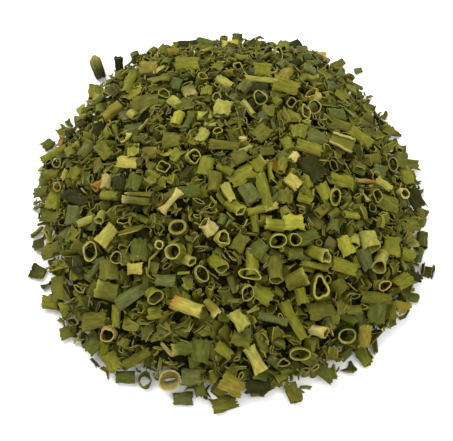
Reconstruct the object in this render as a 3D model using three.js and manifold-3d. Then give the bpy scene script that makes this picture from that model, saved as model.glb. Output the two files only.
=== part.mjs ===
// A heap of dried chives, cut into short hollow lengths, with a few cuts that rolled clear of it.
// Millimetres, +Z up. The heap stands on z = 0, and its bounding box is centred on the Z axis.
// The packed heap is divided into clumps, each one solid of the cuts that lie locked together there.
// The cuts that lie free on top of the heap, and the strays around its foot, are solids of their own.
import * as THREE from "three";
import { mergeVertices } from "three/addons/utils/BufferGeometryUtils.js";
import Module from "manifold-3d";

const wasm = await Module();
wasm.setup();

// ---- Driving dimensions ----------------------------------------------------

const RIM_RADIUS = 51.5; // mean radius of the heap's foot
const CROWN_HEIGHT = 26; // packed height in the middle, under the cuts that stand proud
const RIM_HEIGHT = 2.6; // packed height at the foot, where one or two cuts lie over each other
const DOME_POWER = 1.8; // 2 is a paraboloid; less leaves a rounder crown and straighter sides
const UNEVEN = 0.45; // how far the packed surface rises and falls about the dome
const GAP = 0.3; // clearance between neighbouring solids
const BELT_GAP = 0.45; // clearance between belts, whose faceted edges don't run side by side
const WALL = 0.55; // thickness of a cut's wall
const CUT_LENGTH = 4.8; // usual length of a cut along its leaf
const CUT_WIDTH = 3.6; // usual width of a cut across its leaf
const SUNK = 1.1; // how deep a locked cut is set into its clump
const EDGE_MARGIN = 2.9; // from a locked cut's middle to the edge of its clump
const FOOT_MARGIN = 0.2; // the same at the foot of the heap, where cuts stick out
const CUT_SIDES = 6; // facets round a cut
const SEED = 61; // starts the repeatable scatter of the locked cuts

// Waves that make the foot's outline uneven: [waves round the heap, share of the radius, phase].
const OUTLINE_WAVES = [
  [2, 0.035, Math.PI],
  [3, 0.018, 1.31],
  [4, 0.012, 2.4],
  [6, 0.012, 0.3],
  [7, 0.012, -1.9],
];

// Belts of clumps from the middle outwards: share of the radius where each ends, and its clumps.
const BELTS = [
  { name: "upper_clump", from: 0.17, to: 0.42, clumps: 6, cuts: 5 },
  { name: "slope_clump", from: 0.42, to: 0.7, clumps: 10, cuts: 5 },
  { name: "foot_clump", from: 0.7, to: 1, clumps: 16, cuts: 5 },
];

// ---- Colours ---------------------------------------------------------------

const TONES = {
  darkGreen: 0x3a4a22,
  olive: 0x5f6a2c,
  yellowGreen: 0x8c9338,
  straw: 0xc2b465,
  cream: 0xd6cd95,
  blueGreen: 0x4c6444,
};

/** A matt dry-leaf finish in one of the tones. */
function leafMaterial(tone) {
  return new THREE.MeshStandardMaterial({ color: TONES[tone], roughness: 0.78, metalness: 0 });
}

// ---- The heap's form -------------------------------------------------------

/** Radius of the heap's foot in the direction of an angle. */
function outlineRadius(angle) {
  let share = 1;
  for (const [waves, size, phase] of OUTLINE_WAVES) share += size * Math.cos(waves * angle + phase);
  return RIM_RADIUS * share;
}

/** Height of the packed heap at a share of the way from its middle to its foot. */
function domeHeight(share) {
  return RIM_HEIGHT + (CROWN_HEIGHT - RIM_HEIGHT) * (1 - Math.pow(Math.min(share, 1), DOME_POWER));
}

/** Height of the packed heap over a point of the table, uneven from cut to cut. */
function heightAt(x, y) {
  const share = Math.hypot(x, y) / outlineRadius(Math.atan2(y, x));
  return domeHeight(share) + UNEVEN * Math.sin(1.3 * x + 0.4 * y) * Math.cos(1.1 * y - 0.5 * x);
}

/** Slope of the heap's surface, as an angle, when walking from a point in the direction of a bearing. */
function slopeAlong(x, y, bearing) {
  const step = 1;
  const ahead = heightAt(x + step * Math.cos(bearing), y + step * Math.sin(bearing));
  const behind = heightAt(x - step * Math.cos(bearing), y - step * Math.sin(bearing));
  return Math.atan2(ahead - behind, 2 * step);
}

// ---- Solids ----------------------------------------------------------------

/** A closed three.js geometry as a manifold solid. */
function toSolid(geometry) {
  const bare = geometry.clone();
  bare.deleteAttribute("normal");
  bare.deleteAttribute("uv");
  const merged = mergeVertices(bare, 1e-4);
  const mesh = new wasm.Mesh({
    numProp: 3,
    vertProperties: merged.attributes.position.array,
    triVerts: new Uint32Array(merged.index.array),
  });
  return new wasm.Manifold(mesh);
}

/** A manifold solid as a three.js geometry. */
function toGeometry(solid) {
  const mesh = solid.getMesh();
  const geometry = new THREE.BufferGeometry();
  geometry.setAttribute("position", new THREE.BufferAttribute(mesh.vertProperties, 3));
  geometry.setIndex(new THREE.BufferAttribute(mesh.triVerts, 1));
  geometry.computeVertexNormals();
  return geometry;
}

/** The largest body of a solid, without crumbs cut free of it and with any pocket sealed inside it filled. */
function mainBody(solid) {
  return solid.decompose().reduce((largest, body) => (body.volume() > largest.volume() ? body : largest));
}

/** Stretches a shape to a given width and thickness, and centres its length on the origin. */
function sized(geometry, width, thickness) {
  geometry.computeBoundingBox();
  const size = geometry.boundingBox.getSize(new THREE.Vector3());
  geometry.center();
  geometry.scale(width / size.x, thickness / size.y, 1);
  return geometry;
}

/** A hollow cut with straight walls, or with ends wider than its waist. */
function tubeCut({ length, width, thickness, waist = 1 }) {
  const outer = width / 2;
  const inner = outer - WALL;
  const profile = [new THREE.Vector2(inner, 0), new THREE.Vector2(outer, 0)];
  if (waist < 1) profile.push(new THREE.Vector2(outer * waist, length / 2));
  profile.push(new THREE.Vector2(outer, length), new THREE.Vector2(inner, length));
  if (waist < 1) profile.push(new THREE.Vector2(inner * waist, length / 2));
  profile.push(profile[0].clone());
  const tube = new THREE.LatheGeometry(profile, CUT_SIDES);
  tube.rotateX(Math.PI / 2);
  return sized(tube, width, thickness);
}

/** A cut whose wall has split along its length and sprung open. */
function splitCut({ length, width, thickness }) {
  const outer = width / 2;
  const opening = 0.5; // half the angle of the split
  const section = new THREE.Shape();
  section.absarc(0, 0, outer, opening, 2 * Math.PI - opening, false);
  section.absarc(0, 0, outer - WALL, 2 * Math.PI - opening, opening, true);
  section.closePath();
  const split = new THREE.ExtrudeGeometry(section, { depth: length, bevelEnabled: false, curveSegments: 6 });
  return sized(split, width, thickness);
}

/** A cut pressed flat, with its two walls closed on each other and one end narrower. */
function flatCut({ length, width, thickness }) {
  const flat = new THREE.CylinderGeometry(width * 0.38, width * 0.5, length, 4, 1);
  flat.rotateY(Math.PI / 4);
  flat.rotateX(Math.PI / 2);
  return sized(flat, width, thickness);
}

const CUT_SHAPES = { tube: tubeCut, split: splitCut, flat: flatCut };

/** The turn that points a cut's length along a bearing, lifted from the level and rolled on itself. */
function lie(bearing, lift, roll) {
  return new THREE.Matrix4()
    .makeRotationZ(bearing)
    .multiply(new THREE.Matrix4().makeRotationY(Math.PI / 2 - lift))
    .multiply(new THREE.Matrix4().makeRotationZ(roll));
}

/** Turns a cut and sets it down at a point, raised if it would reach below the table. */
function settle(geometry, { x, y, z, bearing, lift, roll = 0 }) {
  geometry.applyMatrix4(lie(bearing, lift, roll));
  geometry.computeBoundingBox();
  const rise = Math.max(z, -geometry.boundingBox.min.z);
  geometry.translate(x, y, rise);
  return rise;
}

// ---- Cuts that lie free on the heap ----------------------------------------

// Each lies on the heap at polar place (r, at) with its length on a bearing; angles are in degrees.
const FREE_CUTS = [
  {
    name: "straw_cut_left", r: 34.9, at: -150, bearing: 48,
    length: 5.4, width: 3.9, thickness: 2.2, tone: "straw",
  },
  {
    name: "brown_tipped_straw_cut", r: 37.7, at: -106, bearing: -20,
    length: 7.2, width: 3.5, thickness: 2.2, tone: "straw",
  },
  {
    name: "thick_ring_cut", r: 23, at: -123, bearing: -95, lift: 85,
    length: 2.8, width: 4, thickness: 3.9, tone: "yellowGreen",
  },
  {
    name: "teardrop_cut", r: 27.9, at: -118, bearing: -155, lift: 45,
    length: 3.8, width: 3.6, thickness: 3.8, tone: "yellowGreen",
  },
  {
    name: "cream_square_cut", r: 20.5, at: -105, bearing: 145, lift: 40,
    length: 3.2, width: 3.5, thickness: 2.9, tone: "cream",
  },
  {
    name: "small_straw_cut", r: 35.5, at: -130, bearing: 178, lift: 12,
    length: 3.5, width: 2.9, thickness: 2.4, tone: "straw",
  },
  {
    name: "waisted_straw_cut", r: 19.3, at: -138, bearing: 50,
    length: 6.8, width: 2.8, thickness: 2, waist: 0.5, tone: "straw",
  },
  {
    name: "split_green_cut", r: 24.8, at: -155, bearing: -12, kind: "split",
    length: 7, width: 3.3, thickness: 2.6, tone: "olive",
  },
  {
    name: "straw_cut_front", r: 39.2, at: -87, bearing: -50,
    length: 4.5, width: 3.9, thickness: 2.2, tone: "straw",
  },
  {
    name: "folded_straw_cut_front", r: 47.3, at: -83, bearing: -60,
    length: 6.6, width: 3.6, thickness: 2.2, tone: "straw",
  },
  {
    name: "yellow_green_cut_right", r: 37.5, at: -63.5, bearing: -75,
    length: 3.6, width: 2.7, thickness: 2.4, tone: "yellowGreen",
  },
  {
    name: "open_fold_cut", r: 38, at: -56, bearing: -85, lift: 80, kind: "split",
    length: 3.2, width: 4.6, thickness: 5.6, tone: "olive",
  },
  {
    name: "ring_ended_cut", r: 31.7, at: -49, bearing: -22, lift: 30,
    length: 6.2, width: 3.4, thickness: 3.2, tone: "yellowGreen",
  },
  {
    name: "bright_cut_right", r: 34.8, at: -37, bearing: -65,
    length: 4.6, width: 3.1, thickness: 2.2, tone: "straw",
  },
  {
    name: "long_cut_right", r: 42.9, at: -31, bearing: -105, lift: 30,
    length: 6.2, width: 3.4, thickness: 3.2, tone: "yellowGreen",
  },
  {
    name: "cream_fold_cut", r: 29.1, at: 15, bearing: -18, lift: 5, kind: "split",
    length: 6, width: 4.4, thickness: 2.2, tone: "cream",
  },
  {
    name: "yellow_green_cut_back", r: 17.1, at: 141, bearing: 72,
    length: 3.8, width: 2.9, thickness: 2.3, tone: "yellowGreen",
  },
];

// ---- Strays that lie on the table round the heap ---------------------------

const STRAYS = [
  {
    name: "stray_flat_cut_left", r: 52.8, at: -158, bearing: -20, kind: "flat",
    length: 3.6, width: 3.7, thickness: 1.3, tone: "darkGreen",
  },
  {
    name: "stray_flat_cut_front", r: 54.8, at: -102, bearing: 3, kind: "flat",
    length: 4.4, width: 3.2, thickness: 1.2, tone: "blueGreen",
  },
  {
    name: "stray_tube_front", r: 54.7, at: -117.7, bearing: 180,
    length: 4.5, width: 3, thickness: 2.6, tone: "yellowGreen",
  },
  {
    name: "stray_ring_front", r: 53.5, at: -112.8, bearing: -80, lift: 90,
    length: 2.4, width: 3.4, thickness: 3.3, tone: "olive",
  },
  {
    name: "pale_ring_front", r: 51.6, at: -106.5, bearing: -85, lift: 70,
    length: 3.6, width: 5.2, thickness: 4.8, tone: "cream",
  },
  {
    name: "stray_long_cut_back", r: 57.9, at: 130, bearing: 112, lift: 40,
    length: 6.2, width: 3.1, thickness: 3, tone: "yellowGreen",
  },
  {
    name: "stray_tube_back", r: 54.2, at: 125, bearing: 95, lift: 55,
    length: 5.2, width: 2.7, thickness: 2.6, tone: "darkGreen",
  },
  {
    name: "stray_ragged_cut_right", r: 53.8, at: -21, bearing: 75, kind: "split",
    length: 3.1, width: 3.1, thickness: 2.2, tone: "darkGreen",
  },
  {
    name: "stray_tube_right", r: 50.6, at: -12, bearing: 82,
    length: 4.2, width: 2.9, thickness: 2.4, tone: "blueGreen",
  },
  {
    name: "stray_flake_back", r: 57.7, at: 51, bearing: 20, kind: "flat",
    length: 2.1, width: 1.9, thickness: 0.9, tone: "olive",
  },
];

/** A loose cut's mesh, and the slightly larger solid that its neighbours give way to. */
function looseCut(cut, height) {
  const { r, at, bearing, lift = 0, kind = "tube" } = cut;
  const angle = THREE.MathUtils.degToRad(at);
  const heading = THREE.MathUtils.degToRad(bearing);
  const x = r * Math.cos(angle);
  const y = r * Math.sin(angle);
  const onHeap = height === "heap";
  const tilt = THREE.MathUtils.degToRad(lift) + (onHeap ? slopeAlong(x, y, heading) : 0);
  const standing = Math.abs(Math.sin(THREE.MathUtils.degToRad(lift)));
  const half = (cut.length * standing + cut.thickness * (1 - standing)) / 2;
  const place = { x, y, z: onHeap ? heightAt(x, y) + half - SUNK : 0, bearing: heading, lift: tilt };
  place.roll = Math.PI / 2; // the wide side lies down
  const geometry = CUT_SHAPES[kind](cut);
  place.z = settle(geometry, place);
  const grown = 2 * GAP;
  const round = new THREE.CylinderGeometry(1, 1, cut.length + grown, 8);
  round.rotateX(Math.PI / 2);
  const clearance = sized(round, (cut.width + grown) * 1.09, (cut.thickness + grown) * 1.09);
  clearance.applyMatrix4(lie(heading, tilt, place.roll));
  clearance.translate(x, y, place.z);
  const mesh = new THREE.Mesh(geometry, leafMaterial(cut.tone));
  mesh.name = cut.name;
  return { mesh, clearance: toSolid(clearance), x, y, reach: cut.length / 2 };
}

// ---- Clumps ----------------------------------------------------------------

/** The wavering boundary between two clumps of a belt, as an angle that depends on the radius. */
function boundaryAngle(index, belt, radius) {
  const pitch = (2 * Math.PI) / belt.clumps;
  const stagger = 0.5 * (BELTS.indexOf(belt) % 2);
  const waver = 0.09 * Math.sin(0.42 * radius + 2.1 * (index % belt.clumps));
  return (index + stagger + waver) * pitch;
}

/** A clump's packed body: a sector of the belt from the table up to the dome, GAP clear all round. */
function sectorBody(index, belt) {
  const divisions = 3;
  const box = new THREE.BoxGeometry(1, 1, 1, divisions, divisions, 1);
  const position = box.attributes.position;
  for (let i = 0; i < position.count; i++) {
    const across = position.getX(i) + 0.5;
    const round = position.getY(i) + 0.5;
    const share = belt.from + (belt.to - belt.from) * across;
    const nominal = share * RIM_RADIUS;
    const start = boundaryAngle(index, belt, nominal);
    const end = boundaryAngle(index + 1, belt, nominal);
    const trim = (GAP / 2 / nominal) * (1 - 2 * round);
    const angle = start + (end - start) * round + trim;
    const radius = share * outlineRadius(angle) + (across === 0 ? BELT_GAP : 0);
    const x = radius * Math.cos(angle);
    const y = radius * Math.sin(angle);
    position.setXYZ(i, x, y, position.getZ(i) > 0 ? heightAt(x, y) : 0);
  }
  return box;
}

/** The crown's packed body: a twelve-sided prism with a low pointed top. */
function crownBody() {
  const body = new THREE.CylinderGeometry(1, 1, 1, 12, 1);
  body.rotateX(Math.PI / 2);
  const position = body.attributes.position;
  for (let i = 0; i < position.count; i++) {
    const angle = Math.atan2(position.getY(i), position.getX(i));
    const reach = Math.hypot(position.getX(i), position.getY(i)) * BELTS[0].from;
    const x = reach * outlineRadius(angle) * Math.cos(angle);
    const y = reach * outlineRadius(angle) * Math.sin(angle);
    position.setXYZ(i, x, y, position.getZ(i) > 0 ? heightAt(x, y) : 0);
  }
  return body;
}

/** One locked cut, sunk into the heap's surface at a point. */
function lockedCut(x, y, random) {
  const width = CUT_WIDTH * (0.8 + 0.35 * random());
  const length = CUT_LENGTH * (0.75 + 0.35 * random());
  const flat = random() < 0.35;
  const thickness = width * (flat ? 0.45 : 0.7 + 0.3 * random());
  const bearing = 2 * Math.PI * random();
  const lift = flat ? 0.3 * random() : 1.1 * random() * random();
  const half = (length * Math.sin(lift) + thickness * (1 - Math.sin(lift))) / 2;
  const geometry = CUT_SHAPES[flat ? "flat" : "tube"]({ length, width, thickness });
  const tilt = lift + slopeAlong(x, y, bearing);
  settle(geometry, { x, y, z: heightAt(x, y) + half - SUNK, bearing, lift: tilt, roll: Math.PI / 2 });
  return toSolid(geometry);
}

/** A point inside a clump, as far as can be found from the cuts and loose pieces already there. */
function openSpot(index, belt, taken, random) {
  const tries = 24;
  const depth = (belt.to - belt.from) * RIM_RADIUS;
  const pitch = (2 * Math.PI) / belt.clumps;
  const outerMargin = belt.to === 1 ? FOOT_MARGIN : EDGE_MARGIN;
  let best = null;
  for (let i = 0; i < tries; i++) {
    const across = THREE.MathUtils.lerp(EDGE_MARGIN / depth, 1 - outerMargin / depth, random());
    const nominal = (belt.from + (belt.to - belt.from) * across) * RIM_RADIUS;
    const spare = (EDGE_MARGIN + GAP) / (nominal * pitch);
    const round = THREE.MathUtils.lerp(spare, 1 - spare, random());
    const start = boundaryAngle(index, belt, nominal);
    const end = boundaryAngle(index + 1, belt, nominal);
    const angle = start + (end - start) * round;
    const radius = (nominal / RIM_RADIUS) * outlineRadius(angle);
    const spot = { x: radius * Math.cos(angle), y: radius * Math.sin(angle) };
    spot.clear = Math.min(...taken.map((t) => Math.hypot(t.x - spot.x, t.y - spot.y) - t.reach));
    if (!best || spot.clear > best.clear) best = spot;
  }
  return best;
}

/** A clump: its packed body, with cuts locked into its top, cleared where loose cuts rest in it. */
function clumpGeometry(body, spots, loose, random) {
  let solid = toSolid(body);
  for (const spot of spots) solid = solid.add(lockedCut(spot.x, spot.y, random));
  for (const cut of loose) {
    if (solid.intersect(cut.clearance).volume() > 0) solid = solid.subtract(cut.clearance);
  }
  return toGeometry(mainBody(solid));
}

/** Builds the whole heap as one group of named meshes. */
function buildHeap() {
  const heap = new THREE.Group();
  const loose = [
    ...FREE_CUTS.map((cut) => looseCut(cut, "heap")),
    ...STRAYS.map((cut) => looseCut(cut, "table")),
  ];
  THREE.MathUtils.seededRandom(SEED);
  const random = () => THREE.MathUtils.seededRandom();

  const crownSpots = [0, 1, 2].map((k) => {
    const angle = (2 * Math.PI * k) / 3;
    return { x: 4 * Math.cos(angle), y: 4 * Math.sin(angle) };
  });
  const crown = new THREE.Mesh(clumpGeometry(crownBody(), crownSpots, loose, random), leafMaterial("olive"));
  crown.name = "crown_clump";
  heap.add(crown);

  const tones = ["olive", "yellowGreen", "blueGreen", "olive", "darkGreen"];
  for (const belt of BELTS) {
    for (let index = 0; index < belt.clumps; index++) {
      const taken = loose.map((cut) => ({ x: cut.x, y: cut.y, reach: cut.reach + 2.2 }));
      const spots = [];
      for (let k = 0; k < belt.cuts; k++) {
        const spot = openSpot(index, belt, taken, random);
        if (spot.clear < 1) continue;
        taken.push({ x: spot.x, y: spot.y, reach: 1.5 });
        spots.push(spot);
      }
      const geometry = clumpGeometry(sectorBody(index, belt), spots, loose, random);
      const clump = new THREE.Mesh(geometry, leafMaterial(tones[(index * 3 + belt.clumps) % tones.length]));
      clump.name = `${belt.name}_${String(index + 1).padStart(2, "0")}`;
      heap.add(clump);
    }
  }
  for (const cut of loose) heap.add(cut.mesh);

  const box = new THREE.Box3().setFromObject(heap);
  const middle = box.getCenter(new THREE.Vector3());
  heap.position.set(-middle.x, -middle.y, 0);
  return heap;
}

export default buildHeap();
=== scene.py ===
"""The looks of a heap of dried, cut chives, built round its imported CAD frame.

The heap is laid cut by cut: each cut is a short length of hollow leaf, shaped from a ring of
points, and each one is lowered onto what lies under it until it touches. The cuts that end up
in one clump of the frame become one mesh, which stands for that clump. The cuts that lie free
on the heap, and the strays round its foot, are meshes of their own at their frame's places.
The marked cuts have a place of their own too, but belong to the clump that they lie on.
"""

import logging
import math
from dataclasses import dataclass, field
from enum import Enum

import bmesh
import bpy
import numpy as np
from mathutils import Matrix, Vector


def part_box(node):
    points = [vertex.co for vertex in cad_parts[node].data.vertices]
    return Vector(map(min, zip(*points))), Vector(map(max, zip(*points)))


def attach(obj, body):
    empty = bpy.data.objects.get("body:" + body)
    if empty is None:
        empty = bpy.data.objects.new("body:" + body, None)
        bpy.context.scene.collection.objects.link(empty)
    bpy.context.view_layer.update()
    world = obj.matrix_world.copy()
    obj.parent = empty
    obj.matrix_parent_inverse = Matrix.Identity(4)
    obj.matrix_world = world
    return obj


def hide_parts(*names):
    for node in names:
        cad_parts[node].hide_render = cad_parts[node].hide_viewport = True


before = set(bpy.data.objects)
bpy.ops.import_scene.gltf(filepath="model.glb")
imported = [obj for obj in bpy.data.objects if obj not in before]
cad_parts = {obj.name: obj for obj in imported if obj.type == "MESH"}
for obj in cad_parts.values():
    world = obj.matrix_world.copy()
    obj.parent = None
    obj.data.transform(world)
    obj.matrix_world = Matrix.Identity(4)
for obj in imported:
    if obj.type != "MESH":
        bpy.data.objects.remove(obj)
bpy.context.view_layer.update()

MM = 0.001
BODY = "root"
log = logging.getLogger("chive_heap")


def srgb(red: int, green: int, blue: int) -> tuple[float, float, float]:
    """Turns a display colour into the linear colour that a shader takes.

    Args:
        red: Red, from 0 to 255.
        green: Green, from 0 to 255.
        blue: Blue, from 0 to 255.

    Returns:
        The linear red, green and blue.
    """
    shares = np.array([red, green, blue]) / 255.0
    low = shares / 12.92
    high = ((shares + 0.055) / 1.055) ** 2.4
    return tuple(float(v) for v in np.where(shares <= 0.04045, low, high))


class Tone(Enum):
    """The colours that dried chives come in, each with its slot in the record."""

    DARK = (srgb(38, 39, 9), "dark_green_leaf")
    OLIVE = (srgb(84, 82, 27), "olive_leaf")
    GREEN = (srgb(72, 77, 28), "olive_leaf")
    BLUE_GREEN = (srgb(78, 82, 43), "blue_green_leaf")
    YELLOW_GREEN = (srgb(100, 99, 30), "yellow_green_leaf")
    STRAW = (srgb(148, 138, 68), "straw_leaf")
    CREAM = (srgb(160, 149, 96), "cream_leaf")
    BROWN = (srgb(126, 88, 34), "straw_leaf")
    PALE_GREEN = (srgb(130, 127, 62), "straw_leaf")
    BRIGHT = (srgb(134, 131, 48), "yellow_green_leaf")
    GOLDEN = (srgb(112, 101, 38), "straw_leaf")
    TAN = (srgb(138, 126, 78), "straw_leaf")

    @property
    def colour(self) -> np.ndarray:
        """The linear colour."""
        return np.array(self.value[0])

    @property
    def slot(self) -> str:
        """The record's material slot."""
        return self.value[1]


class CutKind(Enum):
    """The forms that a cut takes as it dries, each with its share of the heap."""

    ROUND_RING = 0.13
    OVAL_RING = 0.17
    PRESSED_TUBE = 0.22
    WAISTED_TUBE = 0.1
    SPLIT_CURL = 0.13
    FLAKE = 0.14
    SLIVER = 0.11


FLAT_KINDS = (CutKind.PRESSED_TUBE, CutKind.FLAKE, CutKind.SLIVER)


# ---- The shape of one cut ----------------------------------------------------------------


@dataclass
class CutShape:
    """One cut of chive leaf, in millimetres, with its length along Z and its middle at the origin.

    Attributes:
        kind: The form it dried into.
        length: Length along the leaf.
        width: Widest size across the leaf.
        thickness: Size across the leaf the other way.
        wall: Thickness of the leaf's wall.
        waist: How far the middle is drawn in, as a share of the width.
        skew: How far the two ends are cut off square, as rise over run.
        ragged: How uneven the cut ends are.
        bend: How far the middle bows out.
        opening: How much of the full turn its wall doesn't cover, in radians.
        taper: How much narrower its far end is, as a share.
        sharp: How sharply its sides are folded; 1 is round.
        press: How much flatter the far end is than the near end, as a share.
        flare: How much wider the far end is than the near end, as a share.
        corners: How far it is drawn out to three corners.
        closing: How far its far end closes to a round tip, as a share.
        seed: Starts its own repeatable unevenness.
        around: Faces round it.
        along: Faces along it.
    """

    kind: CutKind
    length: float
    width: float
    thickness: float
    wall: float = 0.26
    waist: float = 0.0
    skew: tuple[float, float] = (0.0, 0.0)
    ragged: float = 0.1
    bend: float = 0.0
    opening: float = 0.0
    taper: float = 0.0
    sharp: float = 1.0
    press: float = 0.0
    flare: float = 0.0
    corners: float = 0.0
    closing: float = 0.0
    seed: int = 0
    around: int = 10
    along: int = 2

    def _wall_sheet(self, bm: bmesh.types.BMesh) -> None:
        """Makes the bare wall: a ring or an open arc of points, extruded along the leaf.

        Args:
            bm: The empty mesh to build in.
        """
        share = 1.0 - self.opening / (2 * math.pi)
        count = max(4, round(self.around * math.sqrt(share)))
        bmesh.ops.create_circle(bm, cap_ends=False, segments=count, radius=1.0)
        if self.opening:
            bm.edges.ensure_lookup_table()
            bmesh.ops.delete(bm, geom=[bm.edges[-1]], context="EDGES_FACES")
            self._open_arc(bm)
        rim = bm.edges[:]
        for _ in range(self.along):
            out = bmesh.ops.extrude_edge_only(bm, edges=rim)["geom"]
            moved = {g for g in out if isinstance(g, bmesh.types.BMVert)}
            bmesh.ops.translate(bm, vec=(0, 0, 1.0 / self.along), verts=list(moved))
            edges = [g for g in out if isinstance(g, bmesh.types.BMEdge)]
            rim = [e for e in edges if e.verts[0] in moved and e.verts[1] in moved]
        bmesh.ops.recalc_face_normals(bm, faces=bm.faces[:])

    def _open_arc(self, bm: bmesh.types.BMesh) -> None:
        """Spreads a broken ring of points over the part of the turn that the wall covers.

        Args:
            bm: A mesh that holds one open chain of points.
        """
        ends = [v for v in bm.verts if len(v.link_edges) == 1]
        order, last = [ends[0]], None
        while len(order) < len(bm.verts):
            edge = next(e for e in order[-1].link_edges if e is not last)
            order.append(edge.other_vert(order[-1]))
            last = edge
        cover = 2 * math.pi - self.opening
        for i, vert in enumerate(order):
            angle = self.opening / 2 + cover * i / (len(order) - 1)
            vert.co = (math.cos(angle), math.sin(angle), 0)

    def _dry(self, bm: bmesh.types.BMesh) -> None:
        """Draws the smooth wall into the uneven form that it dries to.

        Args:
            bm: The wall, of unit radius and unit length.
        """
        rng = np.random.default_rng(self.seed)
        lobes = rng.normal(0, [0.07, 0.06, 0.045])
        phases = rng.uniform(0, 2 * math.pi, 3)
        drift = rng.normal(0, 1.3, 3)
        dents = rng.normal(0, 0.05, 3)
        pinch = rng.normal(0, 0.1)
        twist = rng.normal(0, 0.25)
        tilt = rng.uniform(0, 2 * math.pi, 2)
        for vert in bm.verts:
            x, y, t = vert.co
            angle = math.atan2(y, x)
            folds = zip((2, 3, 4), lobes, phases + drift * (t - 0.5))
            radius = 1 + sum(size * math.cos(number * angle + phase) for number, size, phase in folds)
            radius += self.corners * math.cos(3 * angle + 1.0)
            radius += sum(d * math.sin((k + 2) * 3 * t + 5 * d + k * angle) for k, d in enumerate(dents))
            radius *= 1 - self.closing * max(0.0, 4 * t - 3) ** 2
            radius *= 1 - self.waist * (1 - abs(2 * t - 1) ** 3) + (pinch + self.flare) * (t - 0.5)
            turn = twist * (t - 0.5)
            through = math.copysign(abs(math.sin(angle)) ** self.sharp, math.sin(angle))
            px = radius * math.cos(angle) * self.width / 2
            py = radius * through * self.thickness / 2 * (1 - 0.25 * self.waist)
            py *= (1 - self.press * t) * (1 - self.taper * t)
            end_rise = self.skew[round(t)] * (px * math.cos(tilt[round(t)]) + py * math.sin(tilt[round(t)]))
            at_end = 1.0 if t < 1e-6 or t > 1 - 1e-6 else 0.0
            pz = (t - 0.5) * self.length + at_end * (end_rise + rng.normal(0, self.ragged))
            px, py = px * math.cos(turn) - py * math.sin(turn), px * math.sin(turn) + py * math.cos(turn)
            px += rng.normal(0, 0.4 * self.ragged)
            py += self.bend * (1 - (2 * t - 1) ** 2) - self.bend / 2
            vert.co = (px, py, pz)

    def mesh(self, name: str) -> bpy.types.Mesh:
        """Builds the cut as a closed wall with a skin, a lining and cut rims.

        Args:
            name: Name of the mesh.

        Returns:
            The mesh, in millimetres. Its attribute "grain" holds its undried coordinates, and
            "lining" is 1 on the inside of the wall.
        """
        bm = bmesh.new()
        self._wall_sheet(bm)
        grain = bm.verts.layers.float_vector.new("grain")
        lining = bm.verts.layers.float.new("lining")
        for vert in bm.verts:
            vert[grain] = vert.co
        self._dry(bm)
        skin = set(bm.verts)
        bmesh.ops.solidify(bm, geom=bm.faces[:], thickness=self.wall)
        bmesh.ops.recalc_face_normals(bm, faces=bm.faces[:])
        for vert in bm.verts:
            vert[lining] = 0.0 if vert in skin else 1.0
        for face in bm.faces:
            on_skin = sum(v in skin for v in face.verts)
            face.material_index = {len(face.verts): 0, 0: 1}.get(on_skin, 2)
            face.smooth = True
        for edge in bm.edges:
            kinds = {face.material_index for face in edge.link_faces}
            edge.smooth = not (2 in kinds and len(kinds) > 1)
        middle = sum((v.co for v in bm.verts), Vector()) / len(bm.verts)
        bmesh.ops.translate(bm, vec=-middle, verts=bm.verts[:])
        mesh = bpy.data.meshes.new(name)
        bm.to_mesh(mesh)
        bm.free()
        return mesh


# ---- The finishes ------------------------------------------------------------------------


Socket = bpy.types.NodeSocket
Given = Socket | float | tuple


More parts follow.
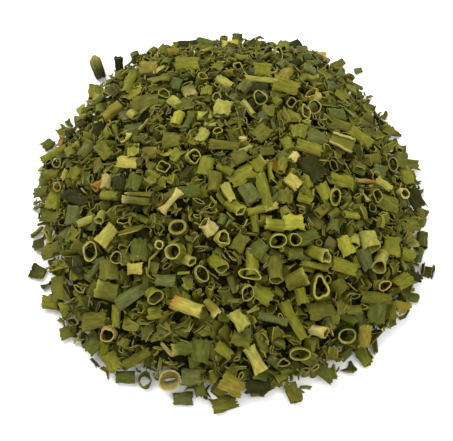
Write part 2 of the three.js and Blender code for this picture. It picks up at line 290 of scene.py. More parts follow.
@dataclass(frozen=True)
class LeafFinish:
    """A dry chive surface, coloured by each cut's own tone.

    Attributes:
        name: Name of the material.
        paleness: Share of the pale tint that is mixed into the tone.
        pale: The pale tint.
        contrast: How much lighter and darker the lengthwise veins are.
        relief: Depth of the veins, in metres.
        roughness: Middle roughness.
        veins: Repeats of the veins per millimetre across, through and along the leaf.
        blotches: Repeats of the blotches, in the same order.
        fresh: Tint where a blotch is fresh.
        faded: Tint where a blotch is faded.
        shine: Strength of the shine.
    """

    name: str
    paleness: float
    pale: tuple[float, float, float]
    contrast: float
    relief: float
    roughness: float
    veins: tuple = (4.0, 4.0, 0.3)
    blotches: tuple = (0.8, 0.8, 0.5)
    fresh: tuple = (1.22, 1.14, 0.95, 1.0)
    faded: tuple = (0.74, 0.8, 0.6, 1.0)
    shine: float = 0.08

    def _noise(self, tree: bpy.types.NodeTree, scale: tuple, detail: float) -> Socket:
        """Makes a noise stretched along the leaf.

        Args:
            tree: The material's node tree.
            scale: Repeats per millimetre across, through and along the leaf.
            detail: Octaves of finer noise.

        Returns:
            The noise's value, round a half.
        """
        grain = tree.nodes.new("ShaderNodeAttribute")
        grain.attribute_name = "grain"
        mapping = tree.nodes.new("ShaderNodeMapping")
        mapping.inputs["Scale"].default_value = scale
        noise = tree.nodes.new("ShaderNodeTexNoise")
        noise.inputs["Scale"].default_value = 1.0
        noise.inputs["Detail"].default_value = detail
        tree.links.new(grain.outputs["Vector"], mapping.inputs["Vector"])
        tree.links.new(mapping.outputs["Vector"], noise.inputs["Vector"])
        return noise.outputs["Fac"]

    def _ranged(self, tree: bpy.types.NodeTree, value: Socket, low: float, high: float) -> Socket:
        """Spreads a noise's middle band over a range.

        Args:
            tree: The material's node tree.
            value: The noise.
            low: Result where the noise is low.
            high: Result where the noise is high.

        Returns:
            The ranged value.
        """
        ranged = tree.nodes.new("ShaderNodeMapRange")
        for key, number in (("From Min", 0.3), ("From Max", 0.7), ("To Min", low), ("To Max", high)):
            ranged.inputs[key].default_value = number
        tree.links.new(value, ranged.inputs["Value"])
        return ranged.outputs["Result"]

    def _mixed(
        self, tree: bpy.types.NodeTree, how: str, share: Given, first: Given, second: Given
    ) -> Socket:
        """Mixes two colours.

        Args:
            tree: The material's node tree.
            how: The blend type.
            share: Share of the second colour, as a number or a socket.
            first: The first colour's socket.
            second: The second colour, as a colour or a socket.

        Returns:
            The mixed colour.
        """
        mix = tree.nodes.new("ShaderNodeMix")
        mix.data_type = "RGBA"
        mix.blend_type = how
        for socket, given in ((mix.inputs[0], share), (mix.inputs[6], first), (mix.inputs[7], second)):
            if isinstance(given, Socket):
                tree.links.new(given, socket)
            else:
                socket.default_value = given
        return mix.outputs[2]

    def material(self) -> bpy.types.Material:
        """Builds the material: tone, paleness, veins, blotches and fine relief.

        Returns:
            The material.
        """
        made = bpy.data.materials.new(self.name)
        made.use_nodes = True
        tree = made.node_tree
        shader = tree.nodes["Principled BSDF"]
        tone = tree.nodes.new("ShaderNodeAttribute")
        tone.attribute_name = "leaf_tone"
        veins = self._noise(tree, self.veins, 2.0)
        blotches = self._noise(tree, self.blotches, 3.0)
        colour = self._mixed(tree, "MIX", self.paleness, tone.outputs["Color"], (*self.pale, 1.0))
        patches = self._ranged(tree, blotches, 0.0, 1.0)
        hue = self._mixed(tree, "MIX", patches, self.fresh, self.faded)
        colour = self._mixed(tree, "MULTIPLY", 1.0, colour, hue)
        light = tree.nodes.new("ShaderNodeCombineColor")
        for key in ("Red", "Green", "Blue"):
            streaks = self._ranged(tree, veins, 1 - self.contrast, 1 + self.contrast)
            tree.links.new(streaks, light.inputs[key])
        colour = self._mixed(tree, "MULTIPLY", 1.0, colour, light.outputs["Color"])
        tree.links.new(colour, shader.inputs["Base Color"])
        rough = self._ranged(tree, blotches, self.roughness - 0.1, self.roughness + 0.1)
        tree.links.new(rough, shader.inputs["Roughness"])
        shader.inputs["Specular IOR Level"].default_value = self.shine
        bump = tree.nodes.new("ShaderNodeBump")
        bump.inputs["Distance"].default_value = self.relief
        bump.inputs["Strength"].default_value = 0.7
        tree.links.new(veins, bump.inputs["Height"])
        tree.links.new(bump.outputs["Normal"], shader.inputs["Normal"])
        return made


FINISHES = (
    LeafFinish("chive_skin", 0.0, srgb(160, 152, 70), 0.2, 0.00012, 0.6),
    LeafFinish("chive_lining", 0.08, srgb(150, 144, 66), 0.16, 0.00008, 0.72),
    LeafFinish("chive_cut_rim", 0.3, srgb(172, 164, 92), 0.1, 0.00003, 0.78),
)


# ---- The form of the heap ----------------------------------------------------------------


@dataclass(frozen=True)
class Belt:
    """A ring of clumps between two shares of the heap's radius.

    Attributes:
        name: Name that its clumps begin with.
        start: Where it begins, as a share of the radius.
        end: Where it ends, as a share of the radius.
        clumps: How many clumps it has.
    """

    name: str
    start: float
    end: float
    clumps: int


@dataclass
class HeapForm:
    """The outline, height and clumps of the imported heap, in millimetres about its own middle.

    Attributes:
        middle: Middle of the heap in the frame.
        radius: Mean radius of its foot.
        crown: Packed height in the middle.
        foot: Packed height at the foot.
        power: How round the dome is.
        waves: Waves that make the outline uneven: number, share of the radius, and phase.
        belts: The belts of clumps from the middle outwards.
    """

    middle: np.ndarray
    radius: float = 51.5
    crown: float = 26.0
    foot: float = 2.6
    power: float = 1.8
    waves: tuple = ((2, 0.035, math.pi), (3, 0.018, 1.31), (4, 0.012, 2.4), (6, 0.012, 0.3), (7, 0.012, -1.9))
    belts: tuple = (
        Belt("upper_clump", 0.17, 0.42, 6),
        Belt("slope_clump", 0.42, 0.7, 10),
        Belt("foot_clump", 0.7, 1.0, 16),
    )

    def outline(self, angle: np.ndarray) -> np.ndarray:
        """Gives the radius of the foot in a direction."""
        return self.radius * (1 + sum(size * np.cos(n * angle + phase) for n, size, phase in self.waves))

    def share(self, x: np.ndarray, y: np.ndarray) -> np.ndarray:
        """Gives how far a point is from the middle, as a share of the way to the foot."""
        return np.hypot(x, y) / self.outline(np.arctan2(y, x))

    def height(self, share: np.ndarray) -> np.ndarray:
        """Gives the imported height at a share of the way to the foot."""
        return self.foot + (self.crown - self.foot) * (1 - np.minimum(share, 1.0) ** self.power)

    def slope(self, x: float, y: float, bearing: float) -> float:
        """Finds how steeply the surface rises at a point.

        Args:
            x: Place across, from the heap's middle.
            y: Place away, from the heap's middle.
            bearing: Direction it is walked in, in radians.

        Returns:
            The slope, as an angle in radians.
        """
        step = 1.5
        dx, dy = step * math.cos(bearing), step * math.sin(bearing)
        rise = self.height(self.share(x + dx, y + dy)) - self.height(self.share(x - dx, y - dy))
        return math.atan2(float(rise), 2 * step)

    def clump_at(self, x: float, y: float) -> str:
        """Names the clump that a point belongs to.

        Args:
            x: Place across, from the heap's middle.
            y: Place away, from the heap's middle.

        Returns:
            The name of the clump's node.
        """
        share = float(self.share(x, y))
        if share < self.belts[0].start:
            return "crown_clump"
        order = next((i for i, belt in enumerate(self.belts) if share < belt.end), len(self.belts) - 1)
        belt = self.belts[order]
        nominal = share * self.radius
        turn = (math.atan2(y, x) / (2 * math.pi) * belt.clumps) % belt.clumps
        stagger = 0.5 * (order % 2)
        for index in range(-1, belt.clumps + 1):
            start = index + stagger + 0.09 * math.sin(0.42 * nominal + 2.1 * (index % belt.clumps))
            end = index + 1 + stagger + 0.09 * math.sin(0.42 * nominal + 2.1 * ((index + 1) % belt.clumps))
            if start <= turn < end:
                return f"{belt.name}_{index % belt.clumps + 1:02d}"
        return f"{belt.name}_01"


# ---- Cuts and the library they are drawn from -------------------------------------------


def lie(bearing: float, lift: float, roll: float) -> np.ndarray:
    """Makes the turn that points a cut's length along a bearing.

    Args:
        bearing: Direction of its length on the table, in radians.
        lift: Angle of its length above the level, in radians.
        roll: Turn about its own length, in radians.

    Returns:
        A three by three rotation.
    """
    turn = Matrix.Rotation(bearing, 3, "Z") @ Matrix.Rotation(math.pi / 2 - lift, 3, "Y")
    return np.array(turn @ Matrix.Rotation(roll, 3, "Z"))


def skin_points(mesh: bpy.types.Mesh, spacing: float) -> np.ndarray:
    """Covers a cut's skin with points, for finding where it touches.

    Args:
        mesh: The cut's mesh.
        spacing: Widest gap between points, in millimetres.

    Returns:
        The points, one to a row.
    """
    points = []
    for face in mesh.polygons:
        if face.material_index != 0:
            continue
        a, b, c, d = (np.array(mesh.vertices[i].co) for i in face.vertices)
        across = max(2, math.ceil(np.linalg.norm(b - a) / spacing) + 1)
        along = max(2, math.ceil(np.linalg.norm(d - a) / spacing) + 1)
        u, v = np.meshgrid(np.linspace(0, 1, across), np.linspace(0, 1, along))
        u, v = u.reshape(-1, 1), v.reshape(-1, 1)
        points.append((1 - v) * ((1 - u) * a + u * b) + v * ((1 - u) * d + u * c))
    return np.concatenate(points)


@dataclass
class Pattern:
    """One dried form.

    Attributes:
        shape: Its sizes.
        mesh: Its mesh, in millimetres.
        points: Points that cover its skin.
    """

    shape: CutShape
    mesh: bpy.types.Mesh
    points: np.ndarray


@dataclass
class LeafTones:
    """The linear colours of one cut.

    Attributes:
        near: Colour of its near end.
        far: Colour of its far end.
        reach: Share of the length that the far colour fades over.
        inside: Colour of its lining, or None where it is like the skin.
    """

    near: np.ndarray
    far: np.ndarray
    reach: float = 1.0
    inside: np.ndarray | None = None

    def at(self, along: float, lining: bool) -> np.ndarray:
        """Gives the colour at a point of the cut.

        Args:
            along: How far along the cut it is, as a share of the length.
            lining: Whether it is on the inside of the wall.

        Returns:
            The linear colour.
        """
        if lining and self.inside is not None:
            return self.inside
        share = min(max((along - 1 + self.reach) / self.reach, 0.0), 1.0)
        return (1 - share) * self.near + share * self.far


@dataclass
class LaidCut:
    """A cut in its place.

    Attributes:
        pattern: Its form.
        turn: Its rotation.
        place: Its middle, in millimetres from the heap's middle.
        tones: Its colours.
    """

    pattern: Pattern
    turn: np.ndarray
    place: np.ndarray
    tones: LeafTones


@dataclass
class CutLibrary:
    """The forms and tones that the heap's cuts are drawn from.

    Attributes:
        rng: The repeatable source of chance.
        forms: How many forms there are.
        patterns: The forms.
        crumbs: The forms of the crumbs and threads among the cuts.
        lining: The broad flake that lines the inside of the heap.
    """

    rng: np.random.Generator
    forms: int = 64
    patterns: list[Pattern] = field(default_factory=list)
    crumbs: list[Pattern] = field(default_factory=list)
    lining: Pattern | None = None

    def _shape(self, kind: CutKind, seed: int) -> CutShape:
        """Draws the sizes of one cut.

        Args:
            kind: The form it dries into.
            seed: Starts its own unevenness.

        Returns:
            The shape.
        """
        rng = self.rng
        width = float(np.clip(rng.normal(2.8, 0.48), 1.7, 4.0))
        length = float(np.clip(rng.normal(3.75, 0.95), 2.0, 6.8))
        shape = CutShape(kind, length, width, width, seed=seed, wall=float(rng.uniform(0.2, 0.32)))
        shape.skew = tuple(rng.normal(0, 0.2, 2))
        shape.bend = rng.normal(0, 0.18)
        shape.press = rng.uniform(0, 0.35)
        shape.ragged = 0.13
        if kind is CutKind.ROUND_RING:
            shape.thickness *= rng.uniform(0.85, 1.0)
            shape.length *= 0.85
        elif kind is CutKind.OVAL_RING:
            shape.thickness *= rng.uniform(0.45, 0.8)
            shape.sharp = rng.uniform(0.9, 1.2)
        elif kind is CutKind.PRESSED_TUBE:
            shape.width *= 1.15
            shape.thickness = rng.uniform(0.8, 1.5)
            shape.sharp = rng.uniform(0.8, 1.3)
        elif kind is CutKind.WAISTED_TUBE:
            shape.waist = rng.uniform(0.2, 0.5)
            shape.width *= 1.1
            shape.thickness *= rng.uniform(0.4, 0.8)
        elif kind is CutKind.SPLIT_CURL:
            shape.opening = rng.uniform(0.5, 2.4)
            shape.width *= 1.15
            shape.thickness *= rng.uniform(0.5, 0.9)
            shape.sharp = rng.uniform(0.8, 1.3)
            shape.ragged = 0.2
        elif kind is CutKind.FLAKE:
            shape.opening = rng.uniform(3.6, 4.7)
            shape.width = rng.uniform(1.4, 3.2)
            shape.thickness = rng.uniform(2.6, 4.8)
            shape.length *= rng.uniform(0.55, 1.1)
            shape.taper = rng.uniform(-0.3, 0.6)
            shape.sharp = rng.uniform(0.8, 1.5)
            shape.ragged = 0.26
        elif kind is CutKind.SLIVER:
            shape.opening = rng.uniform(4.7, 5.4)
            shape.thickness = rng.uniform(1.3, 2.8)
            shape.length *= rng.uniform(0.8, 1.35)
            shape.bend = rng.uniform(-0.9, 1.1)
            shape.taper = rng.uniform(0.0, 0.7)
            shape.ragged = 0.18
        return shape

    def fill(self) -> None:
        """Makes every form in the library."""
        kinds = list(CutKind)
        counts = [max(2, round(self.forms * kind.value)) for kind in kinds]
        for kind, count in zip(kinds, counts):
            for i in range(count):
                shape = self._shape(kind, seed=len(self.patterns) + 11)
                mesh = shape.mesh(f"{kind.name.lower()}_{i + 1:02d}")
                self.patterns.append(Pattern(shape, mesh, skin_points(mesh, Pile.cell * 0.9)))
        shape = CutShape(CutKind.FLAKE, 4.0, 1.6, 4.4, opening=4.2, ragged=0.2, seed=499)
        mesh = shape.mesh("lining")
        self.lining = Pattern(shape, mesh, skin_points(mesh, Pile.cell * 0.9))
        for i in range(24):
            length, width = self.rng.uniform(0.9, 3.0), self.rng.uniform(0.35, 1.1)
            shape = CutShape(CutKind.SLIVER, length, 1.0, width, opening=4.2, wall=0.2, seed=500 + i)
            shape.bend = self.rng.uniform(-0.5, 0.5)
            mesh = shape.mesh(f"crumb_{i + 1:02d}")
            self.crumbs.append(Pattern(shape, mesh, skin_points(mesh, Pile.cell * 0.9)))

    def small(self) -> list[Pattern]:
        """Gives the smaller forms but for the smallest, to fit between the others."""
        count = len(self.patterns)
        return sorted(self.patterns, key=lambda pattern: len(pattern.points))[count // 6 : 2 * count // 3]

    def draw_tones(self) -> LeafTones:
        """Draws the colours of a cut.

        Returns:
            The colours of its two ends, usually near each other.
        """
        tones = list(TONE_SHARES)
        shares = np.array(list(TONE_SHARES.values()))
        tone = tones[self.rng.choice(len(tones), p=shares / shares.sum())]
        colour = tone.colour * self.rng.uniform(0.74, 1.26) * (1 + self.rng.normal(0, (0.03, 0.02, 0.1)))
        other = colour * self.rng.uniform(0.78, 1.25)
        if self.rng.random() < 0.1:
            other = 0.6 * other + 0.4 * self.rng.choice([Tone.STRAW, Tone.YELLOW_GREEN]).colour
        return LeafTones(np.clip(colour, 0, 1), np.clip(other, 0, 1))


TONE_SHARES = {
    Tone.OLIVE: 0.4,
    Tone.GREEN: 0.18,
    Tone.DARK: 0.16,
    Tone.BLUE_GREEN: 0.1,
    Tone.YELLOW_GREEN: 0.13,
    Tone.PALE_GREEN: 0.02,
    Tone.STRAW: 0.006,
    Tone.BROWN: 0.002,
}


# ---- Laying the heap ---------------------------------------------------------------------


@dataclass
class Pile:
    """The heap as it is laid: a map of how high it has reached, in millimetres.

    Attributes:
        form: The form it is filled to.
        library: Where its cuts are drawn from.
        rng: The repeatable source of chance.
        proud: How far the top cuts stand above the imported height, on average.
        sink: How far a cut presses into those under it.
        cuts: The cuts laid so far.
        cell: Side of a cell of the map.
        reach: From the heap's middle to the side of the map.
        follow: Share of the surface's slope that a lying cut leans by.
        tries: Postures tried at one place.
        samples: Places that are compared for the emptiest.
        edge: Where the heap's foot ends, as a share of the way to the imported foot.
        jitter: Spread of a cut's postures round the picked place.
        low_first: How much a lower posture is preferred, against a smaller gap under it.
        most_over: How far a cut may stand above the height it is laid to.
        most_hidden: How much of the given cuts a later one may hide.
        plug_depth: How deep a hollow is plugged where no cut fits; a shallower one is left.
        plug_over: How far a plug may stand above the surface.
        plug_hidden: How much of the given cuts a plug may hide.
        crumb_hidden: How much of the given cuts a strewn crumb may hide.
        given_over: How far above the surface the middle of a given cut may come.
        eased: How much lower the heap stays round each place where no cut fits.
        foot: Where the bedding round the foot begins, as a share of the heap's area.
        bedding_over: How far the bedding may stand above the height that the heap is laid to.
        deep: Depth of the lining under the surface.
        lining_step: Distance between the flakes of the lining.
        lining_edge: Where the lining ends, as a share of the way to the foot.
        lining_low: The least height of the lining above the table.
    """

    form: HeapForm
    library: CutLibrary
    rng: np.random.Generator
    proud: float = 1.1
    sink: float = 0.15
    cuts: list[LaidCut] = field(default_factory=list)

    cell = 0.3
    reach = 72.0
    follow = 0.65
    tries = 12
    samples = 24
    edge = 1.02
    jitter = 0.8
    low_first = 0.3
    most_over = 2.4
    most_hidden = 12.0
    plug_depth = 2.8
    plug_over = 1.2
    plug_hidden = 2.5
    crumb_hidden = 1.0
    given_over = 0.4
    eased = 1.2
    foot = 0.62
    bedding_over = 0.4
    deep = 6.5
    lining_step = 2.6
    lining_edge = 0.92
    lining_low = 0.6

    def __post_init__(self) -> None:
        """Starts with a bare table and the height that the heap is filled to."""
        side = int(2 * self.reach / self.cell)
        self.level = np.zeros((side, side))
        centres = (np.arange(side) + 0.5) * self.cell - self.reach
        x, y = np.meshgrid(centres, centres, indexing="ij")
        share = self.form.share(x, y)
        self.full = np.where(share < self.edge, self.form.height(share) + self.proud, 0.0)
        self.target = self.full.copy()
        self.shown = np.zeros((side, side))

    def _cell(self, place: np.ndarray) -> np.ndarray:
        """Gives the map's row at a place across, or its column at a place away."""
        return ((place + self.reach) / self.cell).astype(int)

    def _touch(self, points: np.ndarray, x: float, y: float) -> tuple[float, float, tuple]:
        """Finds where a cut comes to rest when it is lowered straight down.

        Args:
            points: The skin of the turned cut, about its middle.
            x: Place across.
            y: Place away.

        Returns:
            The height of its middle, the mean gap under it, and its cells with its top in each.
        """
        side = self.level.shape[0]
        cells = self._cell(points[:, 0] + x) * side + self._cell(points[:, 1] + y)
        cells, which = np.unique(cells, return_inverse=True)
        low = np.full(len(cells), np.inf)
        high = np.full(len(cells), -np.inf)
        np.minimum.at(low, which, points[:, 2])
        np.maximum.at(high, which, points[:, 2])
        under = self.level.reshape(-1)[cells]
        height = float((under - low).max())
        gap = float((height + low - under).mean())
        return height, gap, (cells, high)

    def _over(self, height: float, cells: tuple, limit: np.ndarray) -> float:
        """Gives how far a cut at a height stands above a map of heights."""
        return float((height + cells[1] - limit.reshape(-1)[cells[0]]).max())

    def _hidden(self, cells: tuple) -> float:
        """Gives how much of the given cuts a cut over these cells would hide."""
        return float(self.shown.reshape(-1)[cells[0]].sum())

    def _settle(self, cut: LaidCut, cells: tuple) -> None:
        """Keeps a cut, and raises the map to its top.

        Args:
            cut: The cut in its place.
            cells: Its cells, with its top in each.
        """
        level = self.level.reshape(-1)
        level[cells[0]] = np.maximum(level[cells[0]], cells[1] + cut.place[2])
        self.cuts.append(cut)

    def _posture(self, shape: CutShape, x: float, y: float) -> np.ndarray:
        """Draws how a cut might lie on the slope at a point.

        Args:
            shape: Its form.
            x: Place across.
            y: Place away.

        Returns:
            Its rotation.
        """
        rng = self.rng
        bearing = rng.uniform(0, 2 * math.pi)
        stands = 0.42 if shape.kind in (CutKind.ROUND_RING, CutKind.OVAL_RING) else 0.14
        leans = stands + 0.28
        chance = rng.random()
        if chance < stands:
            lift = rng.uniform(0.9, 1.5)
        elif chance < leans:
            lift = rng.uniform(0.3, 0.9)
        else:
            lift = rng.normal(0, 0.16)
        roll = rng.normal(math.pi / 2, 0.35) if shape.kind in FLAT_KINDS else rng.uniform(0, 2 * math.pi)
        if shape.kind in (CutKind.FLAKE, CutKind.SLIVER):
            roll += math.pi / 2
        return lie(bearing, lift + self.follow * self.form.slope(x, y, bearing), roll)

    def _anyhow(self, unevenness: float) -> np.ndarray:
        """Draws a posture that is more or less level, whichever way round.

        Args:
            unevenness: Spread of the angle above the level, in radians.

        Returns:
            The rotation.
        """
        bearing = self.rng.uniform(0, 2 * math.pi)
        lift = self.rng.normal(0, unevenness)
        return lie(bearing, lift, self.rng.uniform(0, 2 * math.pi))

    def _anywhere(self, inner: float) -> tuple[float, float]:
        """Draws a place on the heap.

        Args:
            inner: Share of the heap's area, round the middle, that is left out.

        Returns:
            The place across and away.
        """
        angle = self.rng.uniform(0, 2 * math.pi)
        radius = float(math.sqrt(self.rng.uniform(inner, 1)) * self.form.outline(angle))
        return radius * math.cos(angle), radius * math.sin(angle)

    def _spot(self) -> tuple[float, float, float]:
        """Picks the place, out of a handful, that is furthest from full.

        Returns:
            The place across and away, and how far the heap is below its height there.
        """
        angle = self.rng.uniform(0, 2 * math.pi, self.samples)
        share = 1.01 * np.sqrt(self.rng.uniform(0, 1, self.samples))
        radius = share * self.form.outline(angle)
        x, y = radius * np.cos(angle), radius * np.sin(angle)
        i, j = self._cell(x), self._cell(y)
        near = range(-2, 3)
        level = sum(self.level[i + di, j + dj] for di in near for dj in near) / len(near) ** 2
        lack = self.target[i, j] - level
        best = int((lack / (np.abs(self.target[i, j]) + 2.0)).argmax())
        return float(x[best]), float(y[best]), float(lack[best])

    def keep_clear(self, cut: LaidCut, room: float, bed: float) -> None:
        """Lowers the height that the heap is laid to, where a given cut is to rest on it.

        Args:
            cut: The given cut.
            room: How much lower the heap stays there.
            bed: The least height that the heap keeps there.
        """
        _, _, cells = self._touch(cut.pattern.points @ cut.turn.T, cut.place[0], cut.place[1])
        target = self.target.reshape(-1)
        here = target[cells[0]]
        target[cells[0]] = np.minimum(here, np.maximum(here - room, bed))

    def open_again(self, below: float) -> None:
        """Raises the height that the heap is laid to, up to a little below its surface."""
        self.target = np.maximum(self.target, self.full - below)

    def place_given(self, cut: LaidCut, on_table: bool, shown: float) -> None:
        """Lowers a cut whose place and posture are already known.

        It is kept near the surface, and crosses the cuts under it where they stand too high.

        Args:
            cut: The cut, whose height is found here.
            on_table: Whether it lies on the bare table.
            shown: How much it counts against a later cut that would lie over it.
        """
        points = cut.pattern.points @ cut.turn.T
        height, _, cells = self._touch(points, cut.place[0], cut.place[1])
        rest = -points[:, 2].min()
        highest = float(self.full.reshape(-1)[cells[0]].mean()) + self.given_over + shown
        cut.place[2] = rest if on_table else max(min(height - self.sink, highest), rest)
        self._settle(cut, cells)
        self.shown.reshape(-1)[cells[0]] = shown

    def fill(self, patterns: list[Pattern], attempts: int) -> None:
        """Lays cuts, each in the best of a few postures, until the heap has its height.

        Args:
            patterns: The forms that are laid.
            attempts: How many places are tried.
        """
        first = len(self.cuts)
        for _ in range(attempts):
            x, y, lack = self._spot()
            if lack < 0.5 * self.proud:
                continue
            pattern = patterns[self.rng.integers(len(patterns))]
            fits = []
            for _ in range(self.tries):
                px, py = x + self.rng.normal(0, self.jitter), y + self.rng.normal(0, self.jitter)
                turn = self._posture(pattern.shape, px, py)
                points = pattern.points @ turn.T
                height, gap, cells = self._touch(points, px, py)
                height = max(height, self.sink - float(points[:, 2].min()))
                hidden = self._hidden(cells)
                if self._over(height, cells, self.target) <= self.most_over and hidden <= self.most_hidden:
                    fits.append((gap + self.low_first * height + hidden, height, px, py, turn, cells))
            if fits:
                _, height, px, py, turn, cells = min(fits, key=lambda fit: fit[0])
                place = np.array([px, py, height - self.sink])
                self._settle(LaidCut(pattern, turn, place, self.library.draw_tones()), cells)
            elif lack < self.plug_depth or not self._plug(x, y):
                self._give_up(x, y)
        log.info("%d cuts laid, of %d", len(self.cuts) - first, len(self.cuts))

    def _plug(self, x: float, y: float) -> bool:
        """Drops a small cut or a crumb into a hollow that is too narrow for the others.

        Args:
            x: Place across.
            y: Place away.

        Returns:
            Whether one fitted.
        """
        small, crumbs = self.library.small(), self.library.crumbs
        for choice in (small, small, small, small, crumbs, crumbs):
            px, py = x + self.rng.normal(0, 0.5), y + self.rng.normal(0, 0.5)
            pattern = choice[self.rng.integers(len(choice))]
            turn = self._anyhow(0.7)
            points = pattern.points @ turn.T
            height, _, cells = self._touch(points, px, py)
            height = max(height, -float(points[:, 2].min()))
            over = self._over(height, cells, self.full)
            if over <= self.plug_over and self._hidden(cells) < self.plug_hidden:
                place = np.array([px, py, height])
                self._settle(LaidCut(pattern, turn, place, self.library.draw_tones()), cells)
                return True
        return False

    def _give_up(self, x: float, y: float) -> None:
        """Leaves a hollow as it is, where no cut fits.

        Args:
            x: Place across.
            y: Place away.
        """
        i, j = self._cell(np.array([x, y]))
        self.target[i - 2 : i + 3, j - 2 : j + 3] -= self.eased

    def strew(self, count: int) -> None:
        """Drops crumbs and threads of leaf over the heap, where they hide nothing that stands out.

        Args:
            count: How many are dropped.
        """
        for _ in range(count):
            x, y = self._anywhere(0.0)
            pattern = self.library.crumbs[self.rng.integers(len(self.library.crumbs))]
            turn = self._anyhow(0.35)
            height, _, cells = self._touch(pattern.points @ turn.T, x, y)
            tones = self.library.draw_tones()
            over = self._over(height, cells, self.full)
            if over < self.most_over and self._hidden(cells) < self.crumb_hidden:
                self._settle(LaidCut(pattern, turn, np.array([x, y, height]), tones), cells)

    def line(self) -> None:
        """Spreads broad flakes deep under the surface, so that nothing shows through the heap; they are leaf,
        but their one dark tone is painted shade for the depths between the cuts.
        """
        steps = np.arange(-self.reach, self.reach, self.lining_step)
        # One dark tone for every deep flake: painted shade for the depths of the heap.
        painted_shade = 1.2 * Tone.DARK.colour
        for x in steps:
            for y in steps:
                i, j = self._cell(np.array([x, y]))
                z = float(self.full[i, j]) - self.deep
                if self.form.share(x, y) > self.lining_edge or z < self.lining_low:
                    continue
                bearing, lift = self.rng.uniform(0, 2 * math.pi), self.rng.normal(0, 0.12)
                turn = lie(bearing, lift + self.form.slope(x, y, bearing), self.rng.normal(0, 0.12))
                points = self.library.lining.points @ turn.T
                _, _, cells = self._touch(points, x, y)
                place = np.array([x, y, max(z, -float(points[:, 2].min()))])
                self._settle(LaidCut(self.library.lining, turn, place, LeafTones(painted_shade, painted_shade)), cells)

    def bed(self, count: int) -> None:
        """Covers the table round the foot with flat cuts, before the rest is laid.

        Args:
            count: How many are tried.
        """
        flats = [p for p in self.library.patterns if p.shape.kind in FLAT_KINDS]
        for _ in range(count):
            x, y = self._anywhere(self.foot)
            pattern = flats[self.rng.integers(len(flats))]
            roll = math.pi / 2 if pattern.shape.kind is CutKind.PRESSED_TUBE else math.pi
            turn = lie(self.rng.uniform(0, 2 * math.pi), self.rng.normal(0, 0.08), roll)
            points = pattern.points @ turn.T
            height, _, cells = self._touch(points, x, y)
            height = max(height - self.sink, -float(points[:, 2].min()))
            tones = self.library.draw_tones()
            if self._over(height, cells, self.target) < self.bedding_over:
                self._settle(LaidCut(pattern, turn, np.array([x, y, height]), tones), cells)


@dataclass
class LeafPiece:
    """A mesh of one or more cuts that stands for a node of the frame.

    Attributes:
        node: The node it stands for.
        cuts: Its cuts.
        form: The heap's form, for its middle.
        slot: The record's material slot; not used.
    """

    node: str
    cuts: list[LaidCut]
    form: HeapForm
    slot: str

    def build(self, materials: list[bpy.types.Material], rng: np.random.Generator) -> bpy.types.Object:
        """Joins the cuts into one mesh in the frame's metres.

        Args:
            materials: The skin, the lining and the rim.
            rng: The repeatable source of chance.

        Returns:
            The finished object.
        """
        bm = bmesh.new()
        grain = bm.verts.layers.float_vector.new("grain")
        lining = bm.verts.layers.float.new("lining")
        tone = bm.verts.layers.float_color.new("leaf_tone")
        for cut in self.cuts:
            start = len(bm.verts)
            bm.from_mesh(cut.pattern.mesh)
            bm.verts.ensure_lookup_table()
            added = bm.verts[start:]
            place = Matrix.Translation((*(self.form.middle + cut.place[:2] * MM), cut.place[2] * MM))
            turn = Matrix(cut.turn.tolist()).to_4x4()
            bmesh.ops.transform(bm, matrix=place @ turn @ Matrix.Scale(MM, 4), verts=added)
            shape = cut.pattern.shape
            across, offset = shape.width / 2, rng.uniform(0, 90, 3)
            for vert in added:
                x, y, t = vert[grain]
                vert[grain] = (x * across + offset[0], y * across + offset[1], t * shape.length + offset[2])
                mottle = rng.normal(1.0, 0.1)
                vert[tone] = (*np.clip(mottle * cut.tones.at(t, vert[lining] > 0.5), 0, 1), 1.0)
        mesh = bpy.data.meshes.new(f"cuts_{self.node}")
        bm.to_mesh(mesh)
        bm.free()
        for material in materials:
            mesh.materials.append(material)
        piece = bpy.data.objects.new(f"cuts_{self.node}", mesh)
        bpy.context.scene.collection.objects.link(piece)
        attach(piece, BODY)
        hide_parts(self.node)
        return piece


# ---- Cuts with a place of their own ------------------------------------------------------


@dataclass
class LooseCut:
    """A cut whose place and posture are known.

    Attributes:
        node: Its node, or None where it belongs to the clump that it lies on.
        shape: Its form.
        bearing: Direction of its length, in degrees.
        tone: Its tone.
        lift: Angle of its length above the surface, in degrees.
        roll: Turn about its length, in degrees; at 90 its wide side lies down.
        tip: The tone of its far end.
        reach: Share of the length that the tip's tone fades over.
        inside: The tone of its lining; where it is Tone.DARK in a paler cut, it is painted shade inside the
            hollow.
        spot: Its place from the heap's middle, in millimetres, where it has no node.
        on_table: Whether it lies on the bare table.
        level: Whether its lift is above the level, not above the surface.
    """

    node: str | None
    shape: CutShape
    bearing: float
    tone: Tone
    lift: float = 0.0
    roll: float = 90.0
    tip: Tone | None = None
    reach: float = 1.0
    inside: Tone | None = None
    spot: tuple[float, float] = (0.0, 0.0)
    on_table: bool = False
    level: bool = False

    def _place(self, form: HeapForm) -> tuple[float, float]:
        """Gives its place, which is its node's where it has one.

        Args:
            form: The heap's form.

        Returns:
            The place across and away from the heap's middle, in millimetres.
        """
        if self.node is None:
            return self.spot
        low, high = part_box(self.node)
        x, y = ((np.array(low) + np.array(high))[:2] / 2 - form.middle) / MM
        return float(x), float(y)

    def laid(self, form: HeapForm) -> LaidCut:
        """Turns it as it lies, over its place.

        Args:
            form: The heap's form.

        Returns:
            The cut, with its height still to be found.
        """
        x, y = self._place(form)
        heading = math.radians(self.bearing)
        slope = 0.0 if self.on_table or self.level else Pile.follow * form.slope(x, y, heading)
        mesh = self.shape.mesh(self.node or "marked_cut")
        pattern = Pattern(self.shape, mesh, skin_points(mesh, Pile.cell * 0.9))
        turn = lie(heading, math.radians(self.lift) + slope, math.radians(self.roll))
        inside = self.inside.colour if self.inside else None
        tones = LeafTones(self.tone.colour, (self.tip or self.tone).colour, self.reach, inside)
        return LaidCut(pattern, turn, np.array([x, y, 0.0]), tones)


